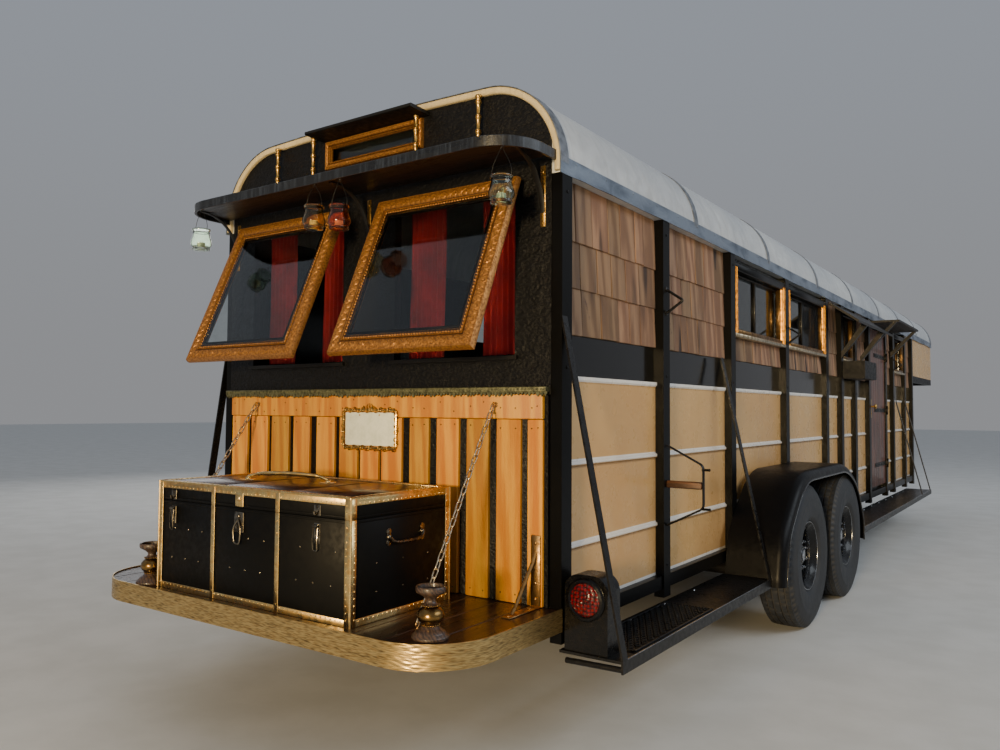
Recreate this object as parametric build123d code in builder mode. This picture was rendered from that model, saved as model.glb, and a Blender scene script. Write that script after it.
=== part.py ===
from build123d import *
import os
from math import cos, pi, radians, sin

# Vardo wagon built on a long gooseneck trailer, in millimetres.
# X runs across, +Y runs to the nose, +Z is up and z = 0 is the ground.
# Places along the wagon are counted from the rear wall's outer face.

# Body
half_width = 1015
body_length = 8535
nose_length = 1685
floor_top = 528
floor_thickness = 28
wall_thickness = 25
post_width = 75
post_depth = 50
wall_foot = 440
eave_z = 2190
nose_panel_foot = 1730
end_wall = 40
front_wall_thickness = 30

# Roof
roof_top = 2600
roof_crown = 12
roof_bend = 360
roof_thickness = 60
strap_width = 30
strap_thickness = 4
strap_pitch = 1250
first_strap = 1360
eave_strip_height = 70
eave_strip_drop = 8
arch_band = 38
arch_band_depth = 20
wrap_width = 65

# Sides of small round bars, drawn flat-sided
round_sides = 8

# Clearances
seat = 0.3
running_gap = 0.3

# Side wall bands, as heights above the ground
panel_foot = 501
panel_top = 1411
panel_sheet = 8
rib_heights = (740, 1064)
rib_height = 26
rib_depth = 9
shingle_feet = (1575, 1761, 1949)
shingle_butt = 16
shingle_tip = 5

# Side walls: places of the rear posts from the rear end and of the front posts
# from the front wall, and what fills each bay
rear_posts = (980, 1930, 3030)
front_posts = (4375, 3845, 3305, 2685, 1815, 1355, 585)
post_places = rear_posts + tuple(body_length - place for place in front_posts)
bay_fills = (
    "shingles", "shingles", "window", "window", "shingles", "window",
    "shingles", "door", "shingles", "window", "shingles",
)

# Rear end
deck_depth = 700
deck_corner = 265
deck_thickness = 38
deck_band_foot = 448
deck_band_rise = 6
deck_band_thickness = 6
slat_top = 1338
slat_header = 98
slat_count = 13
slat_width = 105
slat_thickness = 20
slat_half_span = 940
plate_width = 305
plate_height = 152
plate_centre_z = 1187
plate_rim = 22

# Rear windows, hung at the top and standing open
window_centre = 480
window_width = 740
window_height = 750
window_rim = 64
window_depth = 34
window_hinge_z = 2192
window_hinge_out = 30
window_open_angle = 23.4
window_opening_width = 640
hinge_spread = 250
hinge_width = 24
hinge_ear = 8
hinge_ear_radius = 9
hinge_knuckle_radius = 10
hinge_pin_radius = 5
hinge_drop = 14
window_sill_z = 1490
window_head_z = 2150
glass_thickness = 5
rod_out = 45
rod_radius = 8

# Shelf over the rear windows
shelf_top = 2274
shelf_board = 20
shelf_fascia = 65
shelf_depth = 312
shelf_corner = 190
shelf_half_width = 1000
shelf_lip = 14
bracket_places = (-930, 0, 930)
bracket_reach = 215
bracket_bar = 14
bracket_width = 26
bracket_strap = 6
bracket_tail = 60
spindle_places = (-610, -330, 330, 610)
spindle_out = 32
spindle_bands = ((0, 18), (30, 9), (75, 15), (165, 8), (205, 17), (225, 17))
turned_sides = 12
transom_half_width = 300
transom_foot = 2405
transom_height = 150
transom_rim = 30
hood_half_width = 400
hood_reach = 190

# Jars hung under the shelf's edge: place across, place along, drop to the rim
jar_bands = ((-100, 30), (-60, 42), (0, 36))
jar_hollow = ((-95, 27), (-60, 38), (1, 31.9))
jar_places = ((-819, -304.8, 77), (-30, -305, 73), (123, -305, 93), (918, -269.7, 89))

# Candle stands on the tail deck: places, and bands of height and radius
stand_places = ((858, -573), (-645, -630))
stand_bands = (
    (0, 52), (14, 52), (42, 20), (70, 38), (92, 38), (120, 18), (148, 46), (172, 46),
)

# Trunk on the tail deck
trunk_length = 1128
trunk_depth = 538
trunk_height = 440
trunk_lid_height = 75
trunk_wall = 12
trunk_back = -112
trunk_edge = 24
trunk_edge_proud = 3
trunk_straps = (-197, 187)
lid_hinges = (-380, 380)
lid_barrel = 6
lid_pin = 3
lid_ear = 15
lid_knuckle_half = 20

# Chains between the wall and the deck, with their eyes
chain_wire = 6
chain_link_length = 48
chain_link_width = 24
chain_play = 0.6
chain_head = (724, -38, 1296)
chain_foot = (756, -520, 546)
eye_radius = 11
eye_hole = 5
eye_plate = 6

# Running gear
wheel_radius = 420
tyre_width = 235
tyre_face = 1330
rim_radius = 203
rim_sheet = 12
wheel_sides = 40
disc_place = 4
disc_sheet = 8
disc_hole_count = 8
disc_hole_radius = 20
disc_hole_circle = 142
hub_radius = 62
hub_sides = 20
hub_inner = 60
hub_outer = 58
hub_cap = 38
axle_places = (2400, 3380)
axle_drop = 130
axle_tube_radius = 38
spindle_radius = 30
rail_foot = 360
rail_top = 440
rail_centre = 750
rail_width = 60
rail_sheet = 8
spring_centre = 830
spring_width = 60
spring_half_span = 330

# Fenders and running boards
board_reach = 1270
board_top = 382
board_thickness = 46
rear_board_span = (0, 1760)
front_board_span = (4110, body_length - 575)
fender_top = 930
fender_sheet = 5
fender_reach = 327
fender_front_gap = 72
fender_lean = 60
fender_shoulder = 155
fender_crown = 220
fender_front_crown = 60
fender_front_shoulder = 285
fender_round = 70
stay_places = (20, 1740, body_length - 1245, body_length - 635)
stay_heads = (1636, 1573, 1417, 1415)
stay_width = 38
stay_thickness = 8

# Hooks and loop on the right wall's posts
hook_places = ((rear_posts[0], 1800), (rear_posts[2], 1800), (body_length - front_posts[5], 1800))
hook_reach = 85
hook_half = 56
hook_radius = 6
loop_place = rear_posts[0]
loop_reach = 180
loop_top = 1112
loop_foot = 735
loop_fall = 90

# Tail lamps
lamp_wall_gap = 8
lamp_stay_gap = 67
lamp_rim = 28
lamp_rise = 196
lamp_start = 10
lamp_depth = 100
lamp_lens = 16


# Hood over the door and the awning's struts
hood_edge = 1285
hood_foot = 2140
hood_span = (body_length - 2705, body_length - 1505)
awning_span = (body_length - 4285, hood_span[0] - seat)
awning_struts = (body_length - 3895, body_length - 3135)
strut_width = 40
planter_span = (body_length - 3835, body_length - 3335)
planter_foot = 1560
planter_rise = 150
planter_reach = 175
planter_wall = 14

# Gooseneck and landing jack
neck_rail = 75
coupler_place = body_length + 1185
coupler_foot = 905
ball_radius = 29.6
jack_place = body_length + 225
jack_tube = 100
jack_leg = 76
jack_foot = 260
crank_height = 1180
crank_radius = 10
crank_shaft = 160
crank_arm = 180
crank_grip = 90
column_radius = 65
gusset_reach = 260
gusset_sheet = 10

# Side wall openings and the door
window_band = (1712, 2150)
casing_width = 48
casing_depth = 42
door_top = 2110
door_gap = 6
door_hinge_heights = (700, 1250, 1800)
knuckle_length = 30

# Worked out from the sizes above
rear = (deck_depth + seat + deck_band_thickness - body_length - nose_length) / 2
skin = half_width - post_depth
inner = skin - wall_thickness
front = body_length
nose_tip = body_length + nose_length
wheel_centre = tyre_face - tyre_width / 2
web_face = rail_centre + rail_width / 2

door_start = post_places[6] + post_width / 2
door_end = post_places[7] - post_width / 2
hinge_axis = (half_width + 10, door_end - door_gap / 2)


def station(y):
    """Upright plane across the wagon, looking forward, y from the rear wall."""
    return Plane(origin=(0, rear + y, 0), x_dir=(1, 0, 0), z_dir=(0, -1, 0))


def side(x):
    """Upright plane along the wagon at x, its first axis counted from the rear wall."""
    return Plane(origin=(x, rear, 0), x_dir=(0, 1, 0), z_dir=(1, 0, 0))


def level(z):
    """Flat plane at height z, its second axis counted from the rear wall."""
    return Plane(origin=(0, rear, z), x_dir=(1, 0, 0), z_dir=(0, 0, 1))


def block(x, y, z, mode=Mode.ADD):
    """Block between two values on each axis, y counted from the rear wall."""
    with Locations(((x[0] + x[1]) / 2, rear + (y[0] + y[1]) / 2, (z[0] + z[1]) / 2)):
        Box(x[1] - x[0], y[1] - y[0], z[1] - z[0], mode=mode)


def many_sided(base, bands, sides):
    """Flat-sided solid about a plane's axis, through bands of height and radius."""
    turns = [2 * pi * number / sides for number in range(sides)]
    with BuildPart() as solid:
        for pair in zip(bands, bands[1:]):
            points = [(r * cos(turn), r * sin(turn), h) for h, r in pair for turn in turns]
            ConvexPolyhedron([base.from_local_coords(Vector(*point)) for point in points])
    return solid.part


def save(name, label):
    """Label a finished sub-part and write its file."""
    name.part.label = label
    export_step(name.part, "parts/" + label + ".step")


def arch(inset, foot):
    """Face of the roof's arch, drawn in from its outer skin, standing on foot."""
    edge = half_width - inset
    shoulder = roof_top - roof_crown - inset
    bend = roof_bend - inset
    spring = shoulder - bend
    flat = edge - bend
    tip = bend * sin(radians(45))
    with BuildLine() as rim:
        Polyline((-edge, spring), (-edge, foot), (edge, foot), (edge, spring))
        ThreePointArc((edge, spring), (flat + tip, spring + tip), (flat, shoulder))
        ThreePointArc((flat, shoulder), (0, roof_top - inset), (-flat, shoulder))
        ThreePointArc((-flat, shoulder), (-flat - tip, spring + tip), (-edge, spring))
    return make_face(rim.edges(), mode=Mode.PRIVATE)


def shelf_outline(half, depth, corner):
    """Face of a board against the rear wall with two round outer corners."""
    tip = corner * (1 - sin(radians(45)))
    with BuildLine() as rim:
        Polyline((-half, corner - depth), (-half, 0), (half, 0), (half, corner - depth))
        ThreePointArc(
            (half, corner - depth), (half - tip, tip - depth), (half - corner, -depth)
        )
        Line((half - corner, -depth), (corner - half, -depth))
        ThreePointArc(
            (corner - half, -depth), (tip - half, tip - depth), (-half, corner - depth)
        )
    return make_face(rim.edges(), mode=Mode.PRIVATE)


def bays():
    """Start, end and fill of each bay between the posts of a side wall."""
    starts = [post_width] + [place + post_width / 2 for place in post_places]
    ends = [place - post_width / 2 for place in post_places] + [front - post_width]
    return list(zip(starts, ends, bay_fills))


os.makedirs("parts", exist_ok=True)

# Chassis: two long channels under cross-members
with BuildPart() as chassis_frame:
    for sign in (-1, 1):
        rail = (sign * rail_centre - rail_width / 2, sign * rail_centre + rail_width / 2)
        block(rail, (0, front), (rail_foot, rail_top))
        pocket = sorted((sign * (rail_centre - rail_width / 2 - 1), sign * (web_face - rail_sheet)))
        band = (rail_foot + rail_sheet, rail_top - rail_sheet)
        block(pocket, (-1, front + 1), band, Mode.SUBTRACT)
    member_count = 17
    member_pitch = (front - 60) / (member_count - 1)
    for number in range(member_count):
        start = number * member_pitch
        block((-inner, inner), (start, start + 60), (rail_top, floor_top - floor_thickness))
save(chassis_frame, "chassis_frame")

# Drop axles: tube, risers, spindles and backing plates
wheel_spindle_end = wheel_centre + 8
for name, place in zip(("axle_rear", "axle_front"), axle_places):
    riser = (half_width + 8, half_width + 46)
    tube_z = wheel_radius - axle_drop
    with BuildPart() as axle:
        with BuildSketch(side(-riser[0])):
            with Locations((place, tube_z)):
                Circle(axle_tube_radius)
        extrude(amount=2 * riser[0])
        for sign in (-1, 1):
            with BuildSketch(side(sign * riser[0])):
                with BuildLine():
                    Polyline(
                        (place - 45, tube_z - 40),
                        (place + 45, tube_z - 40),
                        (place + 45, wheel_radius + 45),
                        (place - 45, wheel_radius + 45),
                        close=True,
                    )
                make_face()
            extrude(amount=sign * (riser[1] - riser[0]))
            with BuildSketch(side(sign * riser[1])):
                with Locations((place, wheel_radius)):
                    Circle(150)
            extrude(amount=sign * 8)
            with BuildSketch(side(sign * riser[1])):
                with Locations((place, wheel_radius)):
                    Circle(spindle_radius)
            extrude(amount=sign * (wheel_spindle_end - riser[1]))
    save(axle, name)

# Leaf springs beside the rails, with their hangers
with BuildPart() as leaf_springs:
    pad = wheel_radius - axle_drop + axle_tube_radius
    for sign in (-1, 1):
        for place in axle_places:
            with BuildSketch(side(sign * spring_centre - spring_width / 2)):
                with BuildLine():
                    eye = (spring_half_span, pad + 70)
                    ThreePointArc(
                        (place - eye[0], eye[1]), (place, pad + seat), (place + eye[0], eye[1])
                    )
                    Line((place + eye[0], eye[1]), (place + eye[0], eye[1] + 14))
                    ThreePointArc(
                        (place + eye[0], eye[1] + 14),
                        (place, pad + 34),
                        (place - eye[0], eye[1] + 14),
                    )
                    Line((place - eye[0], eye[1] + 14), (place - eye[0], eye[1]))
                make_face()
            extrude(amount=spring_width)
            for end in (-1, 1):
                reach = place + end * spring_half_span
                faces = sorted((sign * web_face, sign * (spring_centre + spring_width / 2 + 10)))
                block(faces, (reach - 30, reach + 30), (pad + 60, rail_top))
save(leaf_springs, "leaf_springs")

# Floors of the cabin and the nose
with BuildPart() as floor:
    block((-inner, inner), (end_wall, front), (floor_top - floor_thickness, floor_top))
    block(
        (-inner, inner),
        (front, nose_tip - wall_thickness - seat),
        (nose_panel_foot, nose_panel_foot + 20),
    )
save(floor, "floor")

# Side walls, with their window and door openings
for name, sign in (("wall_right", 1), ("wall_left", -1)):
    faces = (inner, skin) if sign > 0 else (-skin, -inner)
    with BuildPart() as wall:
        block(faces, (end_wall + seat, front), (wall_foot, eave_z))
        through = (faces[0] - 1, faces[1] + 1)
        for start, end, fill in bays():
            if fill == "window":
                opening = (start + casing_width, end - casing_width)
                head = (window_band[0] + casing_width, window_band[1] - casing_width)
                block(through, opening, head, Mode.SUBTRACT)
            if fill == "door" and sign > 0:
                block(through, (start, end), (floor_top, door_top), Mode.SUBTRACT)
    save(wall, name)

# Rear wall, filling the arch, with two window openings and the transom's
with BuildPart() as rear_wall:
    with BuildSketch(station(end_wall)):
        add(arch(roof_thickness + seat, floor_top))
        for sign in (-1, 1):
            middle = (window_sill_z + window_head_z) / 2
            with Locations((sign * window_centre, middle)):
                Rectangle(
                    window_opening_width, window_head_z - window_sill_z, mode=Mode.SUBTRACT
                )
        with Locations((0, transom_foot + transom_height / 2)):
            Rectangle(
                2 * (transom_half_width - transom_rim),
                transom_height - 2 * transom_rim,
                mode=Mode.SUBTRACT,
            )
    extrude(amount=end_wall)
save(rear_wall, "rear_wall")

# Front wall of the body, under the nose
with BuildPart() as front_wall:
    block((-inner, inner), (front, front + front_wall_thickness), (wall_foot, 1655))
save(front_wall, "front_wall")

# Nose shell: two side panels and an arched front
with BuildPart() as nose_shell:
    with BuildSketch(station(nose_tip)):
        add(arch(roof_thickness + seat, nose_panel_foot))
    extrude(amount=wall_thickness)
    for sign in (-1, 1):
        edge = half_width - 10
        faces = sorted((sign * edge, sign * (edge - wall_thickness)))
        block(faces, (front + seat, nose_tip), (nose_panel_foot, eave_z))
save(nose_shell, "nose_shell")

# Wall posts, sills and corner posts on both sides
with BuildPart() as wall_posts:
    posts = [post_width / 2] + list(post_places) + [front - post_width / 2]
    for place in posts:
        block(
            (skin, half_width),
            (place - post_width / 2, place + post_width / 2),
            (wall_foot - 40, eave_z),
        )
    for start, end, fill in bays():
        sill_top = panel_foot - seat
        block((skin, half_width - 8), (start + seat, end - seat), (wall_foot, sill_top))
    mirror(about=Plane.YZ)
    for height in door_hinge_heights:
        for foot in (height, height + 2 * knuckle_length + 2 * seat):
            with BuildSketch(level(foot)):
                with Locations(hinge_axis):
                    RegularPolygon(hinge_ear_radius, round_sides)
                with Locations((half_width + 2.5, hinge_axis[1] + 28)):
                    Rectangle(5, 56)
                with Locations((half_width + 5, hinge_axis[1] + 6)):
                    Rectangle(10, 6)
            extrude(amount=knuckle_length)
        with BuildSketch(level(height)):
            with Locations(hinge_axis):
                Circle(hinge_pin_radius)
        extrude(amount=3 * knuckle_length + 2 * seat)
save(wall_posts, "wall_posts")


def panel_section():
    """Section of the ribbed lower sheet, in x and z."""
    points = [(skin, panel_foot)]
    points.append((skin + panel_sheet, panel_foot))
    for height in rib_heights:
        points.append((skin + panel_sheet, height - rib_height / 2))
        points.append((skin + panel_sheet + rib_depth, height - rib_height / 4))
        points.append((skin + panel_sheet + rib_depth, height + rib_height / 4))
        points.append((skin + panel_sheet, height + rib_height / 2))
    points.append((skin + panel_sheet, panel_top - rib_height))
    points.append((skin + panel_sheet + rib_depth, panel_top - rib_height / 2))
    points.append((skin + panel_sheet + rib_depth, panel_top))
    points.append((skin, panel_top))
    return points


def shingle_section(feet, top):
    """Saw-tooth section of the shingle courses standing on feet, up to top."""
    points = [(skin, feet[0])]
    heads = list(feet[1:]) + [top]
    for foot, head in zip(feet, heads):
        points.append((skin + shingle_butt, foot))
        points.append((skin + shingle_tip, head))
    points.append((skin, top))
    return points


# Ribbed panels between the posts
with BuildPart() as side_panels:
    for start, end, fill in bays():
        for sign in (-1, 1):
            if fill == "door" and sign > 0:
                continue
            with BuildSketch(station(end - seat)):
                with BuildLine():
                    Polyline([(sign * x, z) for x, z in panel_section()], close=True)
                make_face()
            extrude(amount=end - start - 2 * seat)
save(side_panels, "side_panels")

# Shingle courses between the posts, only the lowest under a window
with BuildPart() as shingles:
    for start, end, fill in bays():
        for sign in (-1, 1):
            if fill == "door" and sign > 0:
                continue
            if fill == "window":
                section = shingle_section(shingle_feet[:1], window_band[0] - seat)
            else:
                section = shingle_section(shingle_feet, eave_z - seat)
            with BuildSketch(station(end - seat)):
                with BuildLine():
                    Polyline([(sign * x, z) for x, z in section], close=True)
                make_face()
            extrude(amount=end - start - 2 * seat)
save(shingles, "shingles")

# Casings round the side windows, and their glass
with BuildPart() as side_casings:
    for start, end, fill in bays():
        if fill != "window":
            continue
        with BuildSketch(side(skin)):
            with Locations(((start + end) / 2, sum(window_band) / 2)):
                width = end - start - 2 * seat
                height = window_band[1] - window_band[0]
                Rectangle(width, height)
                Rectangle(
                    width - 2 * casing_width, height - 2 * casing_width, mode=Mode.SUBTRACT
                )
        extrude(amount=casing_depth)
    mirror(about=Plane.YZ)
save(side_casings, "side_casings")

with BuildPart() as side_glass:
    for start, end, fill in bays():
        if fill == "window":
            pane = (start + casing_width + seat, end - casing_width - seat)
            band = (window_band[0] + casing_width + seat, window_band[1] - casing_width - seat)
            block((skin - 15, skin - 15 + glass_thickness), pane, band)
    mirror(about=Plane.YZ)
    pane_half = transom_half_width - transom_rim - seat
    pane_foot = transom_foot + transom_rim + seat
    pane_head = transom_foot + transom_height - transom_rim - seat
    block((-pane_half, pane_half), (18, 18 + glass_thickness), (pane_foot, pane_head))
save(side_glass, "side_glass")

# Roof: an arched shell over body and nose
with BuildPart() as roof_skin:
    with BuildSketch(station(nose_tip)):
        add(arch(0, eave_z))
        add(arch(roof_thickness, eave_z), mode=Mode.SUBTRACT)
    extrude(amount=nose_tip)
save(roof_skin, "roof_skin")

# Metal bands over the roof and strips along the eaves
with BuildPart() as roof_flashing:
    strap_foot = eave_z - eave_strip_drop + eave_strip_height + seat
    strap_count = int((nose_tip - first_strap) // strap_pitch) + 1
    strap_spans = [(-arch_band_depth, wrap_width - arch_band_depth)]
    for number in range(strap_count):
        place = first_strap + number * strap_pitch
        strap_spans.append((place - strap_width / 2, place + strap_width / 2))
    strap_spans.append((nose_tip - wrap_width, nose_tip))
    for start, end in strap_spans:
        with BuildSketch(station(end)):
            add(arch(-seat - strap_thickness, eave_z))
            add(arch(-seat, eave_z), mode=Mode.SUBTRACT)
            with Locations((0, strap_foot - eave_strip_height)):
                Rectangle(3 * half_width, 2 * eave_strip_height, mode=Mode.SUBTRACT)
        extrude(amount=end - start)
    for sign in (-1, 1):
        faces = sorted((sign * (half_width + seat), sign * (half_width + seat + strap_thickness)))
        strip_foot = eave_z - eave_strip_drop
        block(faces, (-arch_band_depth, nose_tip), (strip_foot, strap_foot - seat))
save(roof_flashing, "roof_flashing")

# Band round the edge of the rear arch
with BuildPart() as arch_trim:
    with BuildSketch(station(0)):
        add(arch(0, eave_z))
        add(arch(arch_band, eave_z), mode=Mode.SUBTRACT)
    extrude(amount=arch_band_depth)
save(arch_trim, "arch_trim")

# Shelf over the rear windows, a board with a deep edge
with BuildPart() as rear_shelf:
    with BuildSketch(level(shelf_top - shelf_fascia)):
        add(shelf_outline(shelf_half_width, shelf_depth, shelf_corner))
    extrude(amount=shelf_fascia)
    with BuildSketch(level(shelf_top - shelf_fascia)):
        half = shelf_half_width - shelf_lip
        add(shelf_outline(half, shelf_depth - shelf_lip, shelf_corner - shelf_lip))
    extrude(amount=shelf_fascia - shelf_board, mode=Mode.SUBTRACT)
    for sign in (-1, 1):
        notch = sorted((sign * (half_width - arch_band - 6), sign * half_width))
        block(notch, (-arch_band_depth - seat, 1), (eave_z, shelf_top + 1), Mode.SUBTRACT)
save(rear_shelf, "rear_shelf")

# Curved brackets that carry the shelf
with BuildPart() as shelf_brackets:
    ceiling = shelf_top - shelf_board
    for place in bracket_places:
        with BuildSketch(side(place - bracket_width / 2)):
            with Locations((-bracket_reach, ceiling - bracket_reach)):
                Circle(bracket_reach)
                Circle(bracket_reach - bracket_bar, mode=Mode.SUBTRACT)
                with Locations((bracket_reach / 2, bracket_reach / 2)):
                    Rectangle(bracket_reach, bracket_reach, mode=Mode.INTERSECT)
        extrude(amount=bracket_width)
        strap = (place - bracket_width / 2, place + bracket_width / 2)
        foot = ceiling - bracket_reach
        block(strap, (-bracket_strap, 0), (foot - bracket_tail, foot + bracket_tail))
save(shelf_brackets, "shelf_brackets")

# Turned spindles standing on the shelf against the wall
with BuildPart() as spindles:
    for place in spindle_places:
        add(many_sided(Plane((place, rear - spindle_out, shelf_top)), spindle_bands, turned_sides))
save(spindles, "spindles")

# Transom frame and the flap above it
with BuildPart() as transom_frame:
    with BuildSketch(station(0)):
        with Locations((0, transom_foot + transom_height / 2)):
            Rectangle(2 * transom_half_width, transom_height)
            Rectangle(
                2 * (transom_half_width - transom_rim),
                transom_height - 2 * transom_rim,
                mode=Mode.SUBTRACT,
            )
    extrude(amount=22)
save(transom_frame, "transom_frame")

with BuildPart() as transom_hood:
    hood_z = roof_top - 8
    with BuildSketch(side(-hood_half_width)):
        with BuildLine():
            Polyline(
                (-arch_band_depth - seat, hood_z - 34),
                (-arch_band_depth - seat, hood_z),
                (-hood_reach, hood_z + 16),
                (-hood_reach, hood_z),
                (-arch_band_depth - 30, hood_z - 16),
                (-arch_band_depth - 30, hood_z - 34),
                close=True,
            )
        make_face()
    extrude(amount=2 * hood_half_width)
save(transom_hood, "transom_hood")

# Rear windows, open at rest: a picture frame round a pane
window_tilt = radians(window_open_angle)
for name, centre in (("right", window_centre), ("left", -window_centre)):
    hinge = (centre, rear - window_hinge_out, window_hinge_z)
    pane_plane = Plane(
        origin=hinge, x_dir=(1, 0, 0), z_dir=(0, -cos(window_tilt), sin(window_tilt))
    )
    with BuildPart() as window_frame:
        with BuildSketch(pane_plane):
            with Locations((0, -window_height / 2 - hinge_drop)):
                Rectangle(window_width, window_height)
                Rectangle(
                    window_width - 2 * window_rim,
                    window_height - 2 * window_rim,
                    mode=Mode.SUBTRACT,
                )
        extrude(amount=window_depth)
        for shift in (-hinge_spread, hinge_spread):
            knuckle = Plane(
                origin=(centre + shift - hinge_width / 2, hinge[1], hinge[2]),
                x_dir=(0, -sin(window_tilt), -cos(window_tilt)),
                z_dir=(1, 0, 0),
            )
            with BuildSketch(knuckle):
                RegularPolygon(hinge_knuckle_radius, round_sides)
                with Locations((hinge_drop / 2 + 2, -hinge_knuckle_radius / 2)):
                    Rectangle(hinge_drop + 4, hinge_knuckle_radius)
                Circle(hinge_pin_radius + running_gap, mode=Mode.SUBTRACT)
            extrude(amount=hinge_width)
    save(window_frame, "window_frame_" + name)
    with BuildPart() as window_glass:
        with BuildSketch(pane_plane.offset(window_depth / 2)):
            with Locations((0, -window_height / 2 - hinge_drop)):
                Rectangle(
                    window_width - 2 * window_rim - 2 * seat,
                    window_height - 2 * window_rim - 2 * seat,
                )
        extrude(amount=glass_thickness)
    save(window_glass, "window_glass_" + name)

# Hinge ears and pins that carry the rear windows
with BuildPart() as window_hinges:
    for centre in (-window_centre, window_centre):
        for shift in (-hinge_spread, hinge_spread):
            place = centre + shift
            for ear in (-hinge_width / 2 - seat - hinge_ear, hinge_width / 2 + seat):
                with BuildSketch(side(place + ear)):
                    with Locations((-window_hinge_out, window_hinge_z)):
                        RegularPolygon(hinge_ear_radius, round_sides)
                    with Locations((-window_hinge_out / 2, window_hinge_z)):
                        Rectangle(window_hinge_out, 2 * hinge_ear_radius)
                extrude(amount=hinge_ear)
            with BuildSketch(side(place - hinge_width / 2 - seat - hinge_ear)):
                with Locations((-window_hinge_out, window_hinge_z)):
                    Circle(hinge_pin_radius)
            extrude(amount=hinge_width + 2 * seat + 2 * hinge_ear)
save(window_hinges, "window_hinges")

# Sills of the rear windows
with BuildPart() as window_sills:
    for sign in (-1, 1):
        reach = window_opening_width / 2 + 18
        block(
            (sign * window_centre - reach, sign * window_centre + reach),
            (-20, 0),
            (window_sill_z - 16, window_sill_z),
        )
save(window_sills, "window_sills")

# Rods inside the rear windows, and the curtains that hang from them
rod_z = window_head_z + 25
with BuildPart() as curtain_rods:
    for centre in (-window_centre, window_centre):
        reach = window_opening_width / 2 + 40
        with BuildSketch(side(centre - reach)):
            with Locations((end_wall + rod_out, rod_z)):
                Circle(rod_radius)
        extrude(amount=2 * reach)
        for end in (-1, 1):
            place = centre + end * (reach - 10)
            block((place - 5, place + 5), (end_wall, end_wall + rod_out), (rod_z - 6, rod_z + 6))
save(curtain_rods, "curtain_rods")

with BuildPart() as curtains:
    curtain_y = end_wall + rod_out - 10
    for centre in (-window_centre, window_centre):
        for shift in (-1, 1):
            place = centre + shift * 200
            with BuildSketch(level(window_sill_z + 10)):
                with BuildLine():
                    folds = 6
                    run = 200 / folds
                    line = [(place - 100 + n * run, curtain_y + 12 * (n % 2)) for n in range(folds + 1)]
                    back = [(x, y + 8) for x, y in reversed(line)]
                    Polyline(line + back, close=True)
                make_face()
            extrude(amount=rod_z - rod_radius - seat - window_sill_z - 10)
save(curtains, "curtains")

# Slatted panel on the lower rear wall, and the plate
with BuildPart() as slat_panel:
    block(
        (-slat_half_span, slat_half_span),
        (-slat_thickness, 0),
        (slat_top - slat_header, slat_top),
    )
    slat_pitch = (2 * slat_half_span - slat_width) / (slat_count - 1)
    for number in range(slat_count):
        start = -slat_half_span + number * slat_pitch
        block(
            (start, start + slat_width),
            (-slat_thickness, 0),
            (floor_top, slat_top - slat_header),
        )
save(slat_panel, "slat_panel")

with BuildPart() as number_plate:
    with BuildSketch(station(-slat_thickness)):
        with Locations((40, plate_centre_z)):
            Rectangle(plate_width + 2 * plate_rim, plate_height + 2 * plate_rim)
    extrude(amount=6)
    with BuildSketch(station(-slat_thickness - 6)):
        with Locations((40, plate_centre_z)):
            Rectangle(plate_width + 2 * plate_rim, plate_height + 2 * plate_rim)
            Rectangle(plate_width, plate_height, mode=Mode.SUBTRACT)
    extrude(amount=6)
save(number_plate, "number_plate")

# Tail deck and the band round its edge
with BuildPart() as tail_deck:
    with BuildSketch(level(floor_top - deck_thickness)):
        add(shelf_outline(half_width, deck_depth, deck_corner))
    extrude(amount=deck_thickness)
    block((-half_width + 60, half_width - 60), (-90, 0), (deck_band_foot, floor_top - deck_thickness))
save(tail_deck, "tail_deck")

with BuildPart() as deck_band:
    with BuildSketch(level(deck_band_foot)):
        grow = seat + deck_band_thickness
        outer = (half_width + grow, deck_depth + grow, deck_corner + grow)
        add(shelf_outline(*outer))
        bore = (half_width + seat, deck_depth + seat, deck_corner + seat)
        add(shelf_outline(*bore), mode=Mode.SUBTRACT)
    extrude(amount=floor_top + deck_band_rise - deck_band_foot)
save(deck_band, "deck_band")

# Braced brackets between the wall and the deck
with BuildPart() as deck_brackets:
    for sign in (-1, 1):
        with BuildSketch(side(sign * 960 - 6)):
            with BuildLine():
                Polyline(
                    (-slat_thickness, floor_top),
                    (-200, floor_top),
                    (-200, floor_top + 6),
                    (-150, floor_top + 6),
                    (-slat_thickness - 6, 700),
                    (-slat_thickness - 6, 800),
                    (-slat_thickness, 800),
                    close=True,
                )
            make_face()
        extrude(amount=12)
        with BuildSketch(side(sign * chain_head[0] - eye_plate / 2)):
            with Locations(chain_head[1:]):
                RegularPolygon(eye_radius, round_sides)
            with Locations(((chain_head[1] - slat_thickness) / 2, chain_head[2])):
                Rectangle(-slat_thickness - chain_head[1], 2 * eye_radius)
            with Locations(chain_head[1:]):
                RegularPolygon(eye_hole, round_sides, mode=Mode.SUBTRACT)
        extrude(amount=eye_plate)
        with BuildSketch(side(sign * chain_foot[0] - eye_plate / 2)):
            with Locations(chain_foot[1:]):
                RegularPolygon(eye_radius, round_sides)
            with Locations((chain_foot[1], (chain_foot[2] + floor_top) / 2)):
                Rectangle(2 * eye_radius, chain_foot[2] - floor_top)
            with Locations(chain_foot[1:]):
                RegularPolygon(eye_hole, round_sides, mode=Mode.SUBTRACT)
        extrude(amount=eye_plate)
save(deck_brackets, "deck_brackets")


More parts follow.
